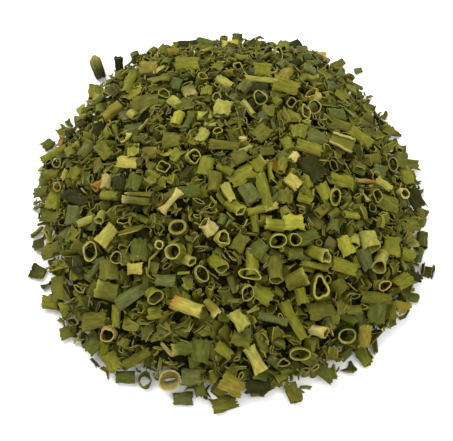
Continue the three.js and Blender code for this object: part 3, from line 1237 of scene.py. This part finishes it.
def fine(kind: CutKind, length: float, width: float, thickness: float, seed: int, **more) -> CutShape:
    """Makes the shape of a cut that is seen on its own, with more faces than the heap's.

    Args:
        kind: Its form.
        length: Length along the leaf, in millimetres.
        width: Widest size across, in millimetres.
        thickness: Size across the other way, in millimetres.
        seed: Starts its unevenness.
        more: Any other size of the shape.

    Returns:
        The shape.
    """
    return CutShape(kind, length, width, thickness, seed=seed, around=24, along=6, **more)


FREE_CUTS = (
    LooseCut(
        "straw_cut_left", fine(CutKind.PRESSED_TUBE, 5.4, 3.9, 2.0, 1, waist=0.1, skew=(0.1, -0.15)),
        bearing=48, tone=Tone.STRAW, tip=Tone.PALE_GREEN,
    ),
    LooseCut(
        "brown_tipped_straw_cut", fine(CutKind.PRESSED_TUBE, 7.2, 3.4, 1.9, 2, ragged=0.2),
        bearing=160, tone=Tone.STRAW, tip=Tone.BROWN, reach=0.35,
    ),
    # Its dark lining is painted shade inside the ring.
    LooseCut(
        "thick_ring_cut", fine(CutKind.ROUND_RING, 2.8, 4.0, 4.0, 38, wall=0.6, ragged=0.05),
        bearing=-95, lift=66, level=True, tone=Tone.OLIVE, inside=Tone.DARK,
    ),
    LooseCut(
        "teardrop_cut", fine(CutKind.OVAL_RING, 3.4, 3.6, 4.4, 44, wall=0.35),
        bearing=-130, lift=56, level=True, tone=Tone.YELLOW_GREEN, inside=Tone.PALE_GREEN,
    ),
    LooseCut(
        "cream_square_cut", fine(CutKind.PRESSED_TUBE, 3.2, 3.5, 2.9, 5, wall=0.4),
        bearing=145, lift=40, tone=Tone.CREAM, inside=Tone.OLIVE,
    ),
    LooseCut(
        "small_straw_cut", fine(CutKind.WAISTED_TUBE, 3.5, 2.9, 2.4, 6, waist=0.15),
        bearing=178, lift=12, tone=Tone.STRAW, inside=Tone.OLIVE,
    ),
    LooseCut(
        "waisted_straw_cut", fine(CutKind.WAISTED_TUBE, 6.8, 2.9, 1.9, 7, waist=0.52),
        bearing=50, tone=Tone.TAN, tip=Tone.CREAM,
    ),
    LooseCut(
        "split_green_cut", fine(CutKind.SPLIT_CURL, 7.0, 2.7, 3.3, 8, opening=0.5),
        bearing=168, roll=180, tone=Tone.OLIVE, tip=Tone.CREAM, reach=0.2,
    ),
    LooseCut(
        "straw_cut_front", fine(CutKind.PRESSED_TUBE, 4.5, 3.9, 2.0, 9, waist=0.08, skew=(0.15, 0.15)),
        bearing=-50, tone=Tone.PALE_GREEN,
    ),
    LooseCut(
        "folded_straw_cut_front", fine(CutKind.WAISTED_TUBE, 6.6, 3.6, 2.0, 10, waist=0.22),
        bearing=-60, tone=Tone.PALE_GREEN, tip=Tone.STRAW, reach=0.7,
    ),
    LooseCut(
        "yellow_green_cut_right", fine(CutKind.OVAL_RING, 3.6, 2.6, 2.2, 11),
        bearing=-75, tone=Tone.YELLOW_GREEN,
    ),
    LooseCut(
        "open_fold_cut", fine(CutKind.OVAL_RING, 3.0, 4.2, 6.0, 12, wall=0.5, corners=0.1),
        bearing=-85, lift=64, level=True, tone=Tone.OLIVE, tip=Tone.PALE_GREEN, reach=0.3,
        inside=Tone.YELLOW_GREEN,
    ),
    LooseCut(
        "ring_ended_cut", fine(CutKind.OVAL_RING, 5.6, 3.0, 3.2, 13, wall=0.55, flare=0.3),
        bearing=-40, lift=28, level=True, tone=Tone.YELLOW_GREEN, tip=Tone.PALE_GREEN, reach=0.25,
    ),
    LooseCut(
        "bright_cut_right", fine(CutKind.PRESSED_TUBE, 4.6, 3.1, 2.1, 14),
        bearing=-65, tone=Tone.BRIGHT,
    ),
    LooseCut(
        "long_cut_right", fine(CutKind.ROUND_RING, 6.2, 3.3, 3.1, 15, wall=0.36, flare=0.25),
        bearing=-105, lift=34, tone=Tone.PALE_GREEN, inside=Tone.GOLDEN,
    ),
    LooseCut(
        "cream_fold_cut", fine(CutKind.SPLIT_CURL, 6.0, 2.4, 4.6, 16, wall=0.65, opening=2.4),
        bearing=-20, lift=5, roll=170, tone=Tone.CREAM, inside=Tone.OLIVE,
    ),
    LooseCut(
        "yellow_green_cut_back", fine(CutKind.PRESSED_TUBE, 3.8, 2.9, 2.1, 17),
        bearing=72, tone=Tone.BRIGHT,
    ),
)

STRAYS = (
    LooseCut(
        "stray_flat_cut_left", fine(CutKind.PRESSED_TUBE, 3.6, 3.7, 1.2, 21),
        bearing=-20, tone=Tone.DARK, tip=Tone.OLIVE, on_table=True,
    ),
    LooseCut(
        "stray_flat_cut_front", fine(CutKind.PRESSED_TUBE, 4.4, 3.2, 1.1, 22, ragged=0.16),
        bearing=3, tone=Tone.BLUE_GREEN, on_table=True,
    ),
    LooseCut(
        "stray_tube_front", fine(CutKind.OVAL_RING, 4.5, 2.9, 2.5, 23),
        bearing=180, tone=Tone.GREEN, on_table=True,
    ),
    LooseCut(
        "stray_ring_front", fine(CutKind.ROUND_RING, 2.3, 3.4, 3.3, 24, wall=0.2),
        bearing=-80, lift=90, tone=Tone.GREEN, on_table=True,
    ),
    LooseCut(
        "pale_ring_front",
        fine(CutKind.ROUND_RING, 3.8, 4.6, 4.4, 25, wall=0.4, flare=-0.3, press=0.65, ragged=0.26),
        bearing=95, lift=-66, tone=Tone.TAN, tip=Tone.DARK, reach=0.8, inside=Tone.TAN, on_table=True,
    ),
    LooseCut(
        "stray_long_cut_back", fine(CutKind.OVAL_RING, 6.6, 3.0, 3.0, 26, flare=0.2, closing=0.8),
        bearing=112, lift=30, tone=Tone.DARK, tip=Tone.PALE_GREEN, reach=0.7, on_table=True,
    ),
    LooseCut(
        "stray_tube_back", fine(CutKind.WAISTED_TUBE, 5.2, 2.8, 2.5, 27, waist=0.15),
        bearing=95, lift=55, tone=Tone.DARK, on_table=True,
    ),
    LooseCut(
        "stray_ragged_cut_right", fine(CutKind.SPLIT_CURL, 3.1, 2.2, 3.1, 28, ragged=0.25, opening=1.6),
        bearing=75, roll=180, tone=Tone.DARK, on_table=True,
    ),
    LooseCut(
        "stray_tube_right", fine(CutKind.OVAL_RING, 4.2, 2.9, 2.3, 29),
        bearing=82, tone=Tone.GREEN, on_table=True,
    ),
    LooseCut(
        "stray_flake_back", fine(CutKind.PRESSED_TUBE, 2.1, 1.9, 0.8, 30),
        bearing=20, tone=Tone.BLUE_GREEN, on_table=True,
    ),
)


def marked(x: float, y: float, bearing: float, lift: float, shape: CutShape, tone: Tone, **more) -> LooseCut:
    """Makes a cut that stands out on the heap but belongs to the clump under it.

    Args:
        x: Place across, from the heap's middle, in millimetres.
        y: Place away, from the heap's middle, in millimetres.
        bearing: Direction of its length, in degrees.
        lift: Angle of its length above the surface, in degrees.
        shape: Its form.
        tone: Its tone.
        more: Any other attribute of the cut.

    Returns:
        The cut.
    """
    shape.seed = 100 + round(abs(7 * x) + abs(13 * y))
    return LooseCut(None, shape, bearing, tone, lift=lift, spot=(x, y), **more)


def flat(x: float, y: float, bearing: float, length: float, width: float, tone: Tone, **more) -> LooseCut:
    """Makes a marked cut that is pressed flat and lies on the surface."""
    shape = fine(CutKind.PRESSED_TUBE, length, width, 1.3, 0, sharp=0.9, ragged=0.18)
    return marked(x, y, bearing, 0, shape, tone, **more)


def flake(x: float, y: float, bearing: float, length: float, width: float, tone: Tone, **more) -> LooseCut:
    """Makes a marked cut that is one side of a split leaf, with its back up."""
    shape = fine(CutKind.FLAKE, length, 2.4, 1.1 * width, 0, opening=4.0, ragged=0.2, taper=0.15)
    return marked(x, y, bearing, 0, shape, tone, roll=0, **more)


def tube(
    x: float, y: float, bearing: float, lift: float, length: float, width: float, tone: Tone, **more
) -> LooseCut:
    """Makes a marked cut that is an open tube, seen from its side."""
    shape = fine(CutKind.OVAL_RING, length, width, 0.8 * width, 0, wall=0.35, ragged=0.12)
    return marked(x, y, bearing, lift, shape, tone, level=True, **more)


def ring(x: float, y: float, bearing: float, width: float, tall: float, tone: Tone, **more) -> LooseCut:
    """Makes a marked cut whose open end is raised to a bearing, steeply enough to be seen into."""
    shape = fine(CutKind.OVAL_RING, 2.4, width, tall, 0, wall=0.28, ragged=0.1)
    return marked(x, y, bearing, 58, shape, tone, level=True, **more)


MARKED_CUTS = (
    # Left side
    flat(-49.5, 19.5, 45, 3.0, 2.9, Tone.GREEN, on_table=True),
    flake(-47, 14, 24, 7.6, 3.0, Tone.YELLOW_GREEN),
    flat(-37.5, 9, 60, 3.4, 3.2, Tone.BLUE_GREEN),
    ring(-45.5, 9, -70, 2.3, 2.4, Tone.YELLOW_GREEN),
    flake(-47, 6.5, -10, 4.6, 3.4, Tone.OLIVE),
    ring(-44.5, 1, -90, 2.4, 2.4, Tone.YELLOW_GREEN, inside=Tone.BROWN),
    flat(-49.5, 2, 0, 3.8, 3.0, Tone.GREEN),
    flake(-45.5, -2.5, 80, 4.4, 3.8, Tone.YELLOW_GREEN),
    flake(-39, -4, -35, 7.0, 4.2, Tone.DARK),
    flake(-32, 7, -60, 6.5, 3.6, Tone.OLIVE),
    flake(-25.5, 1, -15, 5.6, 3.6, Tone.STRAW),
    flat(-23.5, -5.5, 70, 4.2, 3.8, Tone.GREEN),
    flat(-27.5, -4.5, 90, 3.6, 3.4, Tone.DARK),
    flat(-31, -3, 85, 3.8, 2.6, Tone.TAN),
    ring(-16.5, -3, -75, 3.0, 2.8, Tone.PALE_GREEN, inside=Tone.OLIVE),
    flat(-30, -7, -15, 4.6, 2.6, Tone.YELLOW_GREEN),
    flat(-39.5, -9, 80, 4.8, 3.6, Tone.BLUE_GREEN),
    flake(-46, -6.5, -20, 5.6, 3.6, Tone.OLIVE),
    tube(-32, -12, -100, 30, 3.8, 2.4, Tone.PALE_GREEN),
    flake(-36, -11.5, 10, 4.6, 2.4, Tone.PALE_GREEN),
    flat(-14.5, 4.5, -10, 4.6, 4.4, Tone.OLIVE),
    flake(-43, 4.5, 70, 2.8, 1.8, Tone.STRAW),
    tube(-33, -3.5, -140, 20, 2.6, 2.4, Tone.BROWN),
    flake(-25, 13.5, 5, 5.0, 3.4, Tone.BLUE_GREEN),
    flake(-22, 12, 50, 3.8, 0.9, Tone.TAN),
    flake(-45.5, -15.5, 15, 5.2, 4.6, Tone.OLIVE),
    tube(-37.5, -18, 160, 25, 3.6, 3.0, Tone.OLIVE),
    ring(-34.5, -20, -80, 3.4, 4.4, Tone.OLIVE, tip=Tone.TAN, reach=0.3),
    # Dark lining: painted shade inside the ring.
    ring(-27.5, -23.5, -90, 2.7, 2.7, Tone.TAN, inside=Tone.DARK),
    ring(-17, -22.5, -90, 2.2, 2.2, Tone.CREAM, inside=Tone.TAN),
    flake(-22, -22.5, 85, 5.4, 4.4, Tone.GREEN),
    flake(-33.5, -25, 50, 5.0, 1.7, Tone.BLUE_GREEN),
    flat(-29.5, -26, 95, 4.8, 4.2, Tone.OLIVE),
    tube(-30, -30.5, 170, 12, 5.2, 4.6, Tone.OLIVE, tip=Tone.PALE_GREEN, reach=0.25),
    flake(-24, -32.5, 25, 8.0, 4.0, Tone.BLUE_GREEN),
    tube(-18.5, -33, -60, 40, 4.6, 3.6, Tone.YELLOW_GREEN),
    flat(-15.5, -30.5, -5, 4.4, 3.2, Tone.BLUE_GREEN),
    flat(-18, -37, 10, 3.4, 3.2, Tone.YELLOW_GREEN, tip=Tone.OLIVE),
    flake(-42.5, -26.5, 100, 6.2, 4.6, Tone.OLIVE),
    flat(-45, -28.5, 0, 3.9, 3.4, Tone.YELLOW_GREEN),
    flat(-33, -36.5, 0, 6.0, 5.4, Tone.OLIVE),
    flat(-27.5, -36.5, 90, 5.2, 2.0, Tone.YELLOW_GREEN),
    ring(-29.5, -40, -100, 3.6, 3.6, Tone.TAN, inside=Tone.BROWN),
    # Round the crown
    flat(-7, 4.5, 60, 4.0, 2.6, Tone.PALE_GREEN),
    ring(-9, -1.5, -60, 3.4, 3.4, Tone.BRIGHT, inside=Tone.YELLOW_GREEN),
    flat(-6, -4.5, 75, 4.8, 3.4, Tone.YELLOW_GREEN),
    flat(-4, -8.5, 85, 4.8, 3.2, Tone.OLIVE),
    flake(-1.5, 1.5, -8, 7.4, 2.8, Tone.OLIVE),
    flake(3, 3.5, 20, 2.0, 1.6, Tone.CREAM),
    flake(3.5, 0, 40, 4.0, 1.6, Tone.PALE_GREEN),
    flat(7.5, 5.5, 50, 4.6, 4.2, Tone.OLIVE),
    flake(7.5, -2.5, 8, 3.2, 1.3, Tone.PALE_GREEN),
    flat(17, 8, 85, 4.0, 3.8, Tone.YELLOW_GREEN),
    flat(14, 3.5, -70, 3.2, 2.8, Tone.YELLOW_GREEN),
    flake(21.5, 7.5, 10, 5.4, 4.4, Tone.BLUE_GREEN),
    flat(19.5, 3.5, -12, 6.2, 3.2, Tone.YELLOW_GREEN),
    flat(15.5, -0.5, 60, 2.4, 2.1, Tone.CREAM),
    flat(15, -7, -40, 4.0, 3.4, Tone.STRAW),
    flat(12.5, -3.5, 78, 4.0, 2.4, Tone.YELLOW_GREEN),
    flake(20, -2.5, -50, 6.4, 5.4, Tone.DARK),
    flake(2.5, -7, 35, 6.4, 5.0, Tone.YELLOW_GREEN),
    flake(8, -10.5, -75, 9.0, 3.0, Tone.YELLOW_GREEN),
    flat(4.5, -11.5, -60, 4.8, 4.2, Tone.BLUE_GREEN),
    flat(-0.5, -11.5, -65, 4.8, 2.3, Tone.PALE_GREEN),
    tube(1, -15, -48, 25, 4.8, 2.8, Tone.YELLOW_GREEN, tip=Tone.PALE_GREEN, reach=0.2),
    flat(6, -15.5, 16, 4.2, 1.9, Tone.YELLOW_GREEN),
    flat(9.5, -14.5, 20, 3.6, 1.6, Tone.PALE_GREEN),
    flake(-11, -10.5, 5, 7.6, 3.8, Tone.GREEN),
    flat(13, -11.5, 80, 3.2, 3.0, Tone.OLIVE),
    flake(18, -11, -15, 3.6, 2.4, Tone.YELLOW_GREEN),
    flat(15, -17.5, 5, 5.0, 3.8, Tone.BRIGHT),
    flat(23, -8, -60, 4.2, 3.4, Tone.YELLOW_GREEN),
    ring(25.5, -9, -85, 2.7, 4.0, Tone.PALE_GREEN, inside=Tone.YELLOW_GREEN),
    tube(10.5, -18.5, 175, 8, 4.4, 2.8, Tone.YELLOW_GREEN, tip=Tone.PALE_GREEN, reach=0.2),
    # Front slope
    tube(-10, -26.5, -50, 40, 3.4, 2.6, Tone.PALE_GREEN),
    # Dark lining: painted shade inside the ring.
    ring(-7, -29.5, -60, 2.7, 4.2, Tone.PALE_GREEN, inside=Tone.DARK),
    ring(-2, -22, -40, 3.0, 3.6, Tone.STRAW),
    flat(2, -23, 60, 4.0, 3.2, Tone.OLIVE),
    tube(-3, -27.5, -60, 30, 4.6, 3.4, Tone.YELLOW_GREEN),
    flat(5, -27, 92, 6.4, 2.8, Tone.YELLOW_GREEN),
    ring(4.5, -29.5, -90, 4.6, 2.4, Tone.TAN, inside=Tone.YELLOW_GREEN),
    ring(11, -22, -70, 4.4, 3.2, Tone.GREEN, tip=Tone.PALE_GREEN, reach=0.25, inside=Tone.GREEN),
    flat(6.5, -24, 45, 4.0, 3.8, Tone.GREEN),
    tube(10.5, -28.5, -85, 10, 6.0, 3.8, Tone.OLIVE),
    tube(15.5, -30, 20, 15, 5.2, 4.4, Tone.OLIVE, tip=Tone.PALE_GREEN, reach=0.15),
    flat(15.5, -24.5, 5, 3.4, 3.2, Tone.GREEN),
    ring(15, -21.5, -50, 3.0, 3.4, Tone.YELLOW_GREEN),
    flake(18.5, -20, 20, 5.2, 3.4, Tone.GREEN),
    flat(20, -26.5, -6, 6.4, 1.8, Tone.YELLOW_GREEN),
    # Dark lining: painted shade inside the ring.
    ring(4, -33.5, -85, 2.9, 3.9, Tone.PALE_GREEN, inside=Tone.DARK),
    flake(7.5, -33.5, -30, 5.2, 4.8, Tone.YELLOW_GREEN),
    flake(15, -38.5, -58, 10.0, 2.8, Tone.YELLOW_GREEN),
    flat(-4.5, -36.5, -50, 4.4, 2.2, Tone.GOLDEN, tip=Tone.CREAM, reach=0.3),
    flat(10, -38.5, -10, 7.0, 1.9, Tone.BLUE_GREEN),
    tube(21, -40, -30, 25, 4.4, 2.6, Tone.CREAM, inside=Tone.BROWN),
    flake(21.5, -35.5, 15, 6.2, 5.2, Tone.OLIVE),
    flat(2.5, -43, -20, 4.4, 3.2, Tone.OLIVE),
    tube(-11.5, -44.5, 190, 10, 5.0, 3.0, Tone.GREEN, tip=Tone.PALE_GREEN, reach=0.2),
    flat(-7, -45, 80, 5.2, 4.4, Tone.GREEN),
    flake(-15, -44.5, -50, 4.0, 1.1, Tone.TAN),
    flake(-1.5, -45, -35, 4.2, 3.0, Tone.YELLOW_GREEN),
    flat(-7.5, -51.5, -80, 5.0, 2.6, Tone.GREEN),
    flat(-9.5, -50, 0, 4.4, 4.0, Tone.BLUE_GREEN),
    flake(0.5, -51.5, -30, 5.8, 5.2, Tone.GOLDEN),
    flake(-1.5, -55, 20, 6.0, 4.0, Tone.OLIVE),
    flat(15, -52.5, -70, 4.6, 3.2, Tone.OLIVE),
    flake(6.5, -51.5, 5, 6.0, 3.2, Tone.DARK),
    ring(16.5, -45, -90, 4.6, 3.2, Tone.YELLOW_GREEN),
    ring(12.5, -47, -80, 2.7, 2.0, Tone.GREEN),
    flake(23, -48, -40, 5.0, 3.4, Tone.GREEN),
    flat(32.5, -39.5, 85, 5.2, 3.0, Tone.GOLDEN),
    ring(28, -40, -90, 4.4, 4.2, Tone.DARK, inside=Tone.PALE_GREEN),
    flat(-33.5, -41.5, 45, 3.8, 3.6, Tone.GREEN),
    flat(-28.5, -45.5, -60, 4.6, 3.4, Tone.YELLOW_GREEN),
    flake(-22.5, -45.5, 25, 7.0, 2.6, Tone.OLIVE),
    # Right side
    flake(28.5, 15, -12, 5.2, 3.0, Tone.OLIVE),
    flat(33.5, 12.5, -35, 7.0, 3.4, Tone.YELLOW_GREEN),
    flat(42.5, 20, 45, 3.6, 3.4, Tone.OLIVE),
    flake(44.5, 10, 80, 5.2, 4.0, Tone.GREEN),
    # Dark lining: painted shade inside the ring.
    ring(42, 7, -80, 2.6, 3.4, Tone.OLIVE, inside=Tone.DARK),
    flake(46, 5.5, -75, 5.2, 3.2, Tone.YELLOW_GREEN),
    ring(44.5, -1, -70, 2.7, 2.7, Tone.CREAM),
    flake(48, -1, -60, 5.2, 4.6, Tone.DARK),
    flat(27.5, -4, -5, 5.8, 3.4, Tone.YELLOW_GREEN),
    flake(34, -1, 8, 5.0, 1.3, Tone.TAN, tip=Tone.BROWN),
    flake(39, -0.5, -30, 4.6, 2.6, Tone.PALE_GREEN),
    ring(36.5, -5, -60, 2.4, 3.6, Tone.OLIVE),
    flat(39.5, -6, -10, 5.8, 4.4, Tone.OLIVE),
    flat(38, 3, -20, 3.2, 3.2, Tone.BLUE_GREEN),
    flat(25, -16.5, 80, 3.2, 2.6, Tone.GREEN),
    tube(30, -19, -95, 32, 4.4, 2.6, Tone.PALE_GREEN, inside=Tone.GOLDEN),
    tube(34, -18, -80, 10, 4.8, 4.0, Tone.PALE_GREEN),
    flat(40, -17.5, 80, 5.0, 4.4, Tone.YELLOW_GREEN),
    flat(44.5, -18, -10, 3.6, 3.4, Tone.YELLOW_GREEN),
    flat(27.5, -25.5, -10, 6.0, 3.8, Tone.YELLOW_GREEN),
    flake(33, -22.5, -70, 5.4, 3.6, Tone.BLUE_GREEN),
    ring(37.5, -27.5, -75, 3.4, 2.5, Tone.TAN, inside=Tone.BROWN),
    flake(43, -25, 35, 5.0, 4.2, Tone.YELLOW_GREEN),
    flake(35.5, -30.5, 5, 8.0, 4.0, Tone.OLIVE),
    flake(42.5, -30.5, 30, 3.8, 3.6, Tone.GOLDEN),
    flat(35.5, -34, 85, 5.0, 4.6, Tone.GREEN),
    flake(39.5, -32.5, 85, 4.6, 2.8, Tone.OLIVE),
    flat(45.5, -22.5, -15, 5.0, 2.0, Tone.DARK),
    flake(45.5, -9.5, 20, 5.2, 4.2, Tone.OLIVE),
    # Back slope
    flat(-15.5, 44, 0, 3.2, 2.6, Tone.GOLDEN),
    flake(-18.5, 47, 75, 4.6, 3.6, Tone.OLIVE),
    flake(-12, 49.5, 10, 5.0, 3.4, Tone.DARK),
    flake(-7, 50.5, -15, 5.4, 3.2, Tone.GREEN),
    tube(2, 52.5, 90, 20, 4.2, 2.6, Tone.GREEN),
    flat(-11.5, 35, 0, 6.2, 4.2, Tone.YELLOW_GREEN),
    flat(0, 48.5, 5, 4.4, 2.8, Tone.STRAW),
    flat(-1.5, 25, -45, 5.4, 2.6, Tone.PALE_GREEN),
    flat(-10.5, 21, -70, 3.6, 3.4, Tone.BLUE_GREEN, tip=Tone.TAN),
    flat(-6, 20.5, 85, 3.2, 2.8, Tone.YELLOW_GREEN),
    flat(-14, 17.5, -50, 4.2, 2.8, Tone.PALE_GREEN),
    flat(-2, 13.5, 80, 4.8, 4.4, Tone.PALE_GREEN),
    ring(-3.5, 18, -90, 2.6, 2.4, Tone.YELLOW_GREEN),
    ring(-17, 22, -90, 2.6, 2.2, Tone.YELLOW_GREEN),
    tube(-31, 21, 40, 10, 5.6, 3.4, Tone.GOLDEN),
    flake(-27, 32.5, 80, 8.6, 3.2, Tone.YELLOW_GREEN),
    flake(-22, 37, 0, 4.8, 4.8, Tone.GOLDEN),
    flat(-38, 37, 90, 4.4, 3.2, Tone.YELLOW_GREEN, on_table=True),
    flake(-22, 21, 0, 7.2, 4.6, Tone.OLIVE),
    flake(15, 49.5, 80, 4.0, 3.4, Tone.YELLOW_GREEN),
    flake(25.5, 50, 0, 3.8, 3.4, Tone.STRAW, on_table=True),
    flake(30.5, 46, 35, 4.2, 2.4, Tone.OLIVE),
    ring(2, 33.5, -80, 2.4, 2.4, Tone.PALE_GREEN),
    flake(8.5, 32, 0, 4.6, 4.4, Tone.YELLOW_GREEN),
    ring(13, 41.5, -70, 2.4, 3.0, Tone.PALE_GREEN, inside=Tone.OLIVE),
    flake(14.5, 30.5, 60, 4.6, 3.4, Tone.GOLDEN),
    flake(8, 26.5, -5, 8.4, 1.8, Tone.PALE_GREEN),
    flake(7, 22.5, 0, 5.2, 3.6, Tone.DARK),
    flake(14.5, 25, -15, 6.6, 4.6, Tone.YELLOW_GREEN),
    tube(3.5, 22, 60, -10, 4.0, 3.0, Tone.BLUE_GREEN),
    ring(7.5, 18, -90, 3.2, 3.4, Tone.PALE_GREEN, inside=Tone.GREEN),
    ring(15.5, 18, -90, 2.4, 2.4, Tone.OLIVE),
    flat(9.5, 13, 85, 3.6, 3.4, Tone.OLIVE),
    ring(21.5, 23, 150, 3.4, 3.6, Tone.STRAW, inside=Tone.GOLDEN),
    # Dark lining: painted shade inside the ring.
    ring(21.5, 18.5, -80, 3.2, 3.4, Tone.PALE_GREEN, inside=Tone.DARK),
    ring(19, 15.5, -60, 2.0, 3.6, Tone.PALE_GREEN),
    flake(4.5, 14, -60, 5.4, 1.8, Tone.PALE_GREEN),
    flat(27.5, 18.5, 10, 4.4, 3.6, Tone.GREEN),
)


@dataclass
class Heap:
    """The whole heap.

    Attributes:
        seed: Starts every draw of chance.
        bedding: Flat cuts that are tried round the foot.
        places: Places that are tried for the bulk of the cuts.
        late_places: Places that are tried for small cuts between the given ones.
        crumbs: Crumbs that are dropped at the end.
        marked_weight: How much a marked cut counts against one that would hide it; a free cut is 1.
        stray_room: How far the heap is lowered round a stray, which keeps its cuts away.
        free_room: How much lower the heap is laid under a free cut, in millimetres.
        marked_room: How much lower than its own height it is laid under a marked cut.
        least: The least height that the heap keeps under them.
        late_room: How far below the surface the late cuts stay.
    """

    seed: int = 7
    bedding: int = 1400
    places: int = 5000
    late_places: int = 2500
    crumbs: int = 1500
    marked_weight: float = 0.3
    stray_room: float = 30.0
    free_room: float = 4.0
    marked_room: float = 0.9
    least: float = 2.0
    late_room: float = 0.3

    def build(self) -> list[bpy.types.Object]:
        """Lays the heap and makes its pieces.

        Returns:
            The pieces.
        """
        low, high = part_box("crown_clump")
        form = HeapForm((np.array(low[:2]) + np.array(high[:2])) / 2)
        rng = np.random.default_rng(self.seed)
        library = CutLibrary(rng)
        library.fill()
        pile = Pile(form, library, rng)
        singles = self._lay(pile)
        materials = [finish.material() for finish in FINISHES]
        pieces = []
        for given, cut in zip(STRAYS + FREE_CUTS, singles):
            pieces.append(LeafPiece(given.node, [cut], form, given.tone.slot).build(materials, rng))
        for node, cuts in sorted(self._clumps(pile, singles).items()):
            pieces.append(LeafPiece(node, cuts, form, "olive_leaf").build(materials, rng))
        for piece in pieces:
            log.info("%s: %d faces", piece.name, len(piece.data.polygons))
        return pieces

    def _lay(self, pile: Pile) -> list[LaidCut]:
        """Lays every cut of the heap, from the table up.

        Args:
            pile: The empty heap.

        Returns:
            The strays and the free cuts, each of which is a piece of its own.
        """
        strays = [cut.laid(pile.form) for cut in STRAYS]
        free = [cut.laid(pile.form) for cut in FREE_CUTS]
        marks = [cut.laid(pile.form) for cut in MARKED_CUTS]
        for cut in strays:
            pile.place_given(cut, True, 1.0)
            pile.keep_clear(cut, self.stray_room, -self.stray_room)
        for cut in free:
            pile.keep_clear(cut, self.free_room, self.least)
        for cut in marks:
            tall = float(np.ptp((cut.pattern.points @ cut.turn.T)[:, 2]))
            pile.keep_clear(cut, self.marked_room + tall, self.least)
        pile.line()
        pile.bed(self.bedding)
        pile.fill(pile.library.patterns, self.places)
        for cut, given in zip(marks + free, MARKED_CUTS + FREE_CUTS):
            pile.place_given(cut, given.on_table, 1.0 if given.node else self.marked_weight)
        pile.open_again(self.late_room)
        pile.fill(pile.library.small(), self.late_places)
        pile.strew(self.crumbs)
        return strays + free

    def _clumps(self, pile: Pile, singles: list[LaidCut]) -> dict[str, list[LaidCut]]:
        """Sorts the heap's cuts by the clump that they lie in.

        Args:
            pile: The laid heap.
            singles: The cuts that are pieces of their own.

        Returns:
            The cuts of each clump, by the name of its node.
        """
        clumps: dict[str, list[LaidCut]] = {}
        apart = {id(cut) for cut in singles}
        for cut in pile.cuts:
            if id(cut) not in apart:
                clumps.setdefault(pile.form.clump_at(cut.place[0], cut.place[1]), []).append(cut)
        return clumps


# ---- Where it is seen --------------------------------------------------------------------


@dataclass
class Studio:
    """The table, the lights and the camera.

    Attributes:
        elevation: Angle of the view above the table, in degrees.
        distance: From the camera to the point it looks at, in metres.
        width: Width of the view at that distance, in metres.
        aim: The point it looks at, from the heap's middle, in metres.
    """

    elevation: float = 60.0
    distance: float = 0.3
    width: float = 0.1187
    aim: tuple[float, float, float] = (-0.001, -0.004, 0.0)

    def build(self) -> None:
        """Sets up the table, the lights and the camera."""
        bpy.context.scene.view_settings.view_transform = "Standard"
        self._table()
        self._sky()
        self._lamp("key", (-0.25, 0.3, 0.6), 0.5, 5.0)
        self._lamp("fill", (0.4, -0.3, 0.5), 0.6, 2.3)
        self._camera()

    def _table(self) -> None:
        """Makes the pale table."""
        bm = bmesh.new()
        bmesh.ops.create_grid(bm, x_segments=1, y_segments=1, size=1.5)
        mesh = bpy.data.meshes.new("table")
        bm.to_mesh(mesh)
        bm.free()
        material = bpy.data.materials.new("table_white")
        material.use_nodes = True
        shader = material.node_tree.nodes["Principled BSDF"]
        shader.inputs["Base Color"].default_value = (0.95, 0.95, 0.95, 1.0)
        shader.inputs["Roughness"].default_value = 0.9
        mesh.materials.append(material)
        table = bpy.data.objects.new("table", mesh)
        bpy.context.scene.collection.objects.link(table)

    def _sky(self) -> None:
        """Makes the soft white surround."""
        world = bpy.data.worlds.new("studio")
        world.use_nodes = True
        world.node_tree.nodes["Background"].inputs["Color"].default_value = (1.0, 1.0, 1.0, 1.0)
        world.node_tree.nodes["Background"].inputs["Strength"].default_value = 0.9
        bpy.context.scene.world = world

    def _lamp(self, name: str, place: tuple, size: float, power: float) -> None:
        """Hangs a soft lamp that faces the heap.

        Args:
            name: Its name.
            place: Where it hangs, in metres.
            size: Side of its square face, in metres.
            power: Its power, in watts.
        """
        light = bpy.data.lights.new(name, "AREA")
        light.size = size
        light.energy = power
        lamp = bpy.data.objects.new(name, light)
        lamp.location = place
        lamp.rotation_euler = (-Vector(place)).to_track_quat("-Z", "Y").to_euler()
        bpy.context.scene.collection.objects.link(lamp)

    def _camera(self) -> None:
        """Points the camera down at the heap."""
        low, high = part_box("crown_clump")
        middle = Vector(((low[0] + high[0]) / 2, (low[1] + high[1]) / 2, 0.0))
        aim = middle + Vector(self.aim)
        rise = math.radians(self.elevation)
        place = aim + self.distance * Vector((0, -math.cos(rise), math.sin(rise)))
        data = bpy.data.cameras.new("camera")
        data.sensor_fit = "HORIZONTAL"
        data.angle_x = 2 * math.atan(self.width / 2 / self.distance)
        data.clip_start = 0.01
        camera = bpy.data.objects.new("camera", data)
        camera.location = place
        camera.rotation_euler = (aim - place).to_track_quat("-Z", "Y").to_euler()
        bpy.context.scene.collection.objects.link(camera)
        bpy.context.scene.camera = camera


def main() -> None:
    """Builds the heap and the studio."""
    logging.basicConfig(level=logging.INFO, format="%(message)s")
    Heap().build()
    Studio().build()


if __name__ == "__main__":
    main()
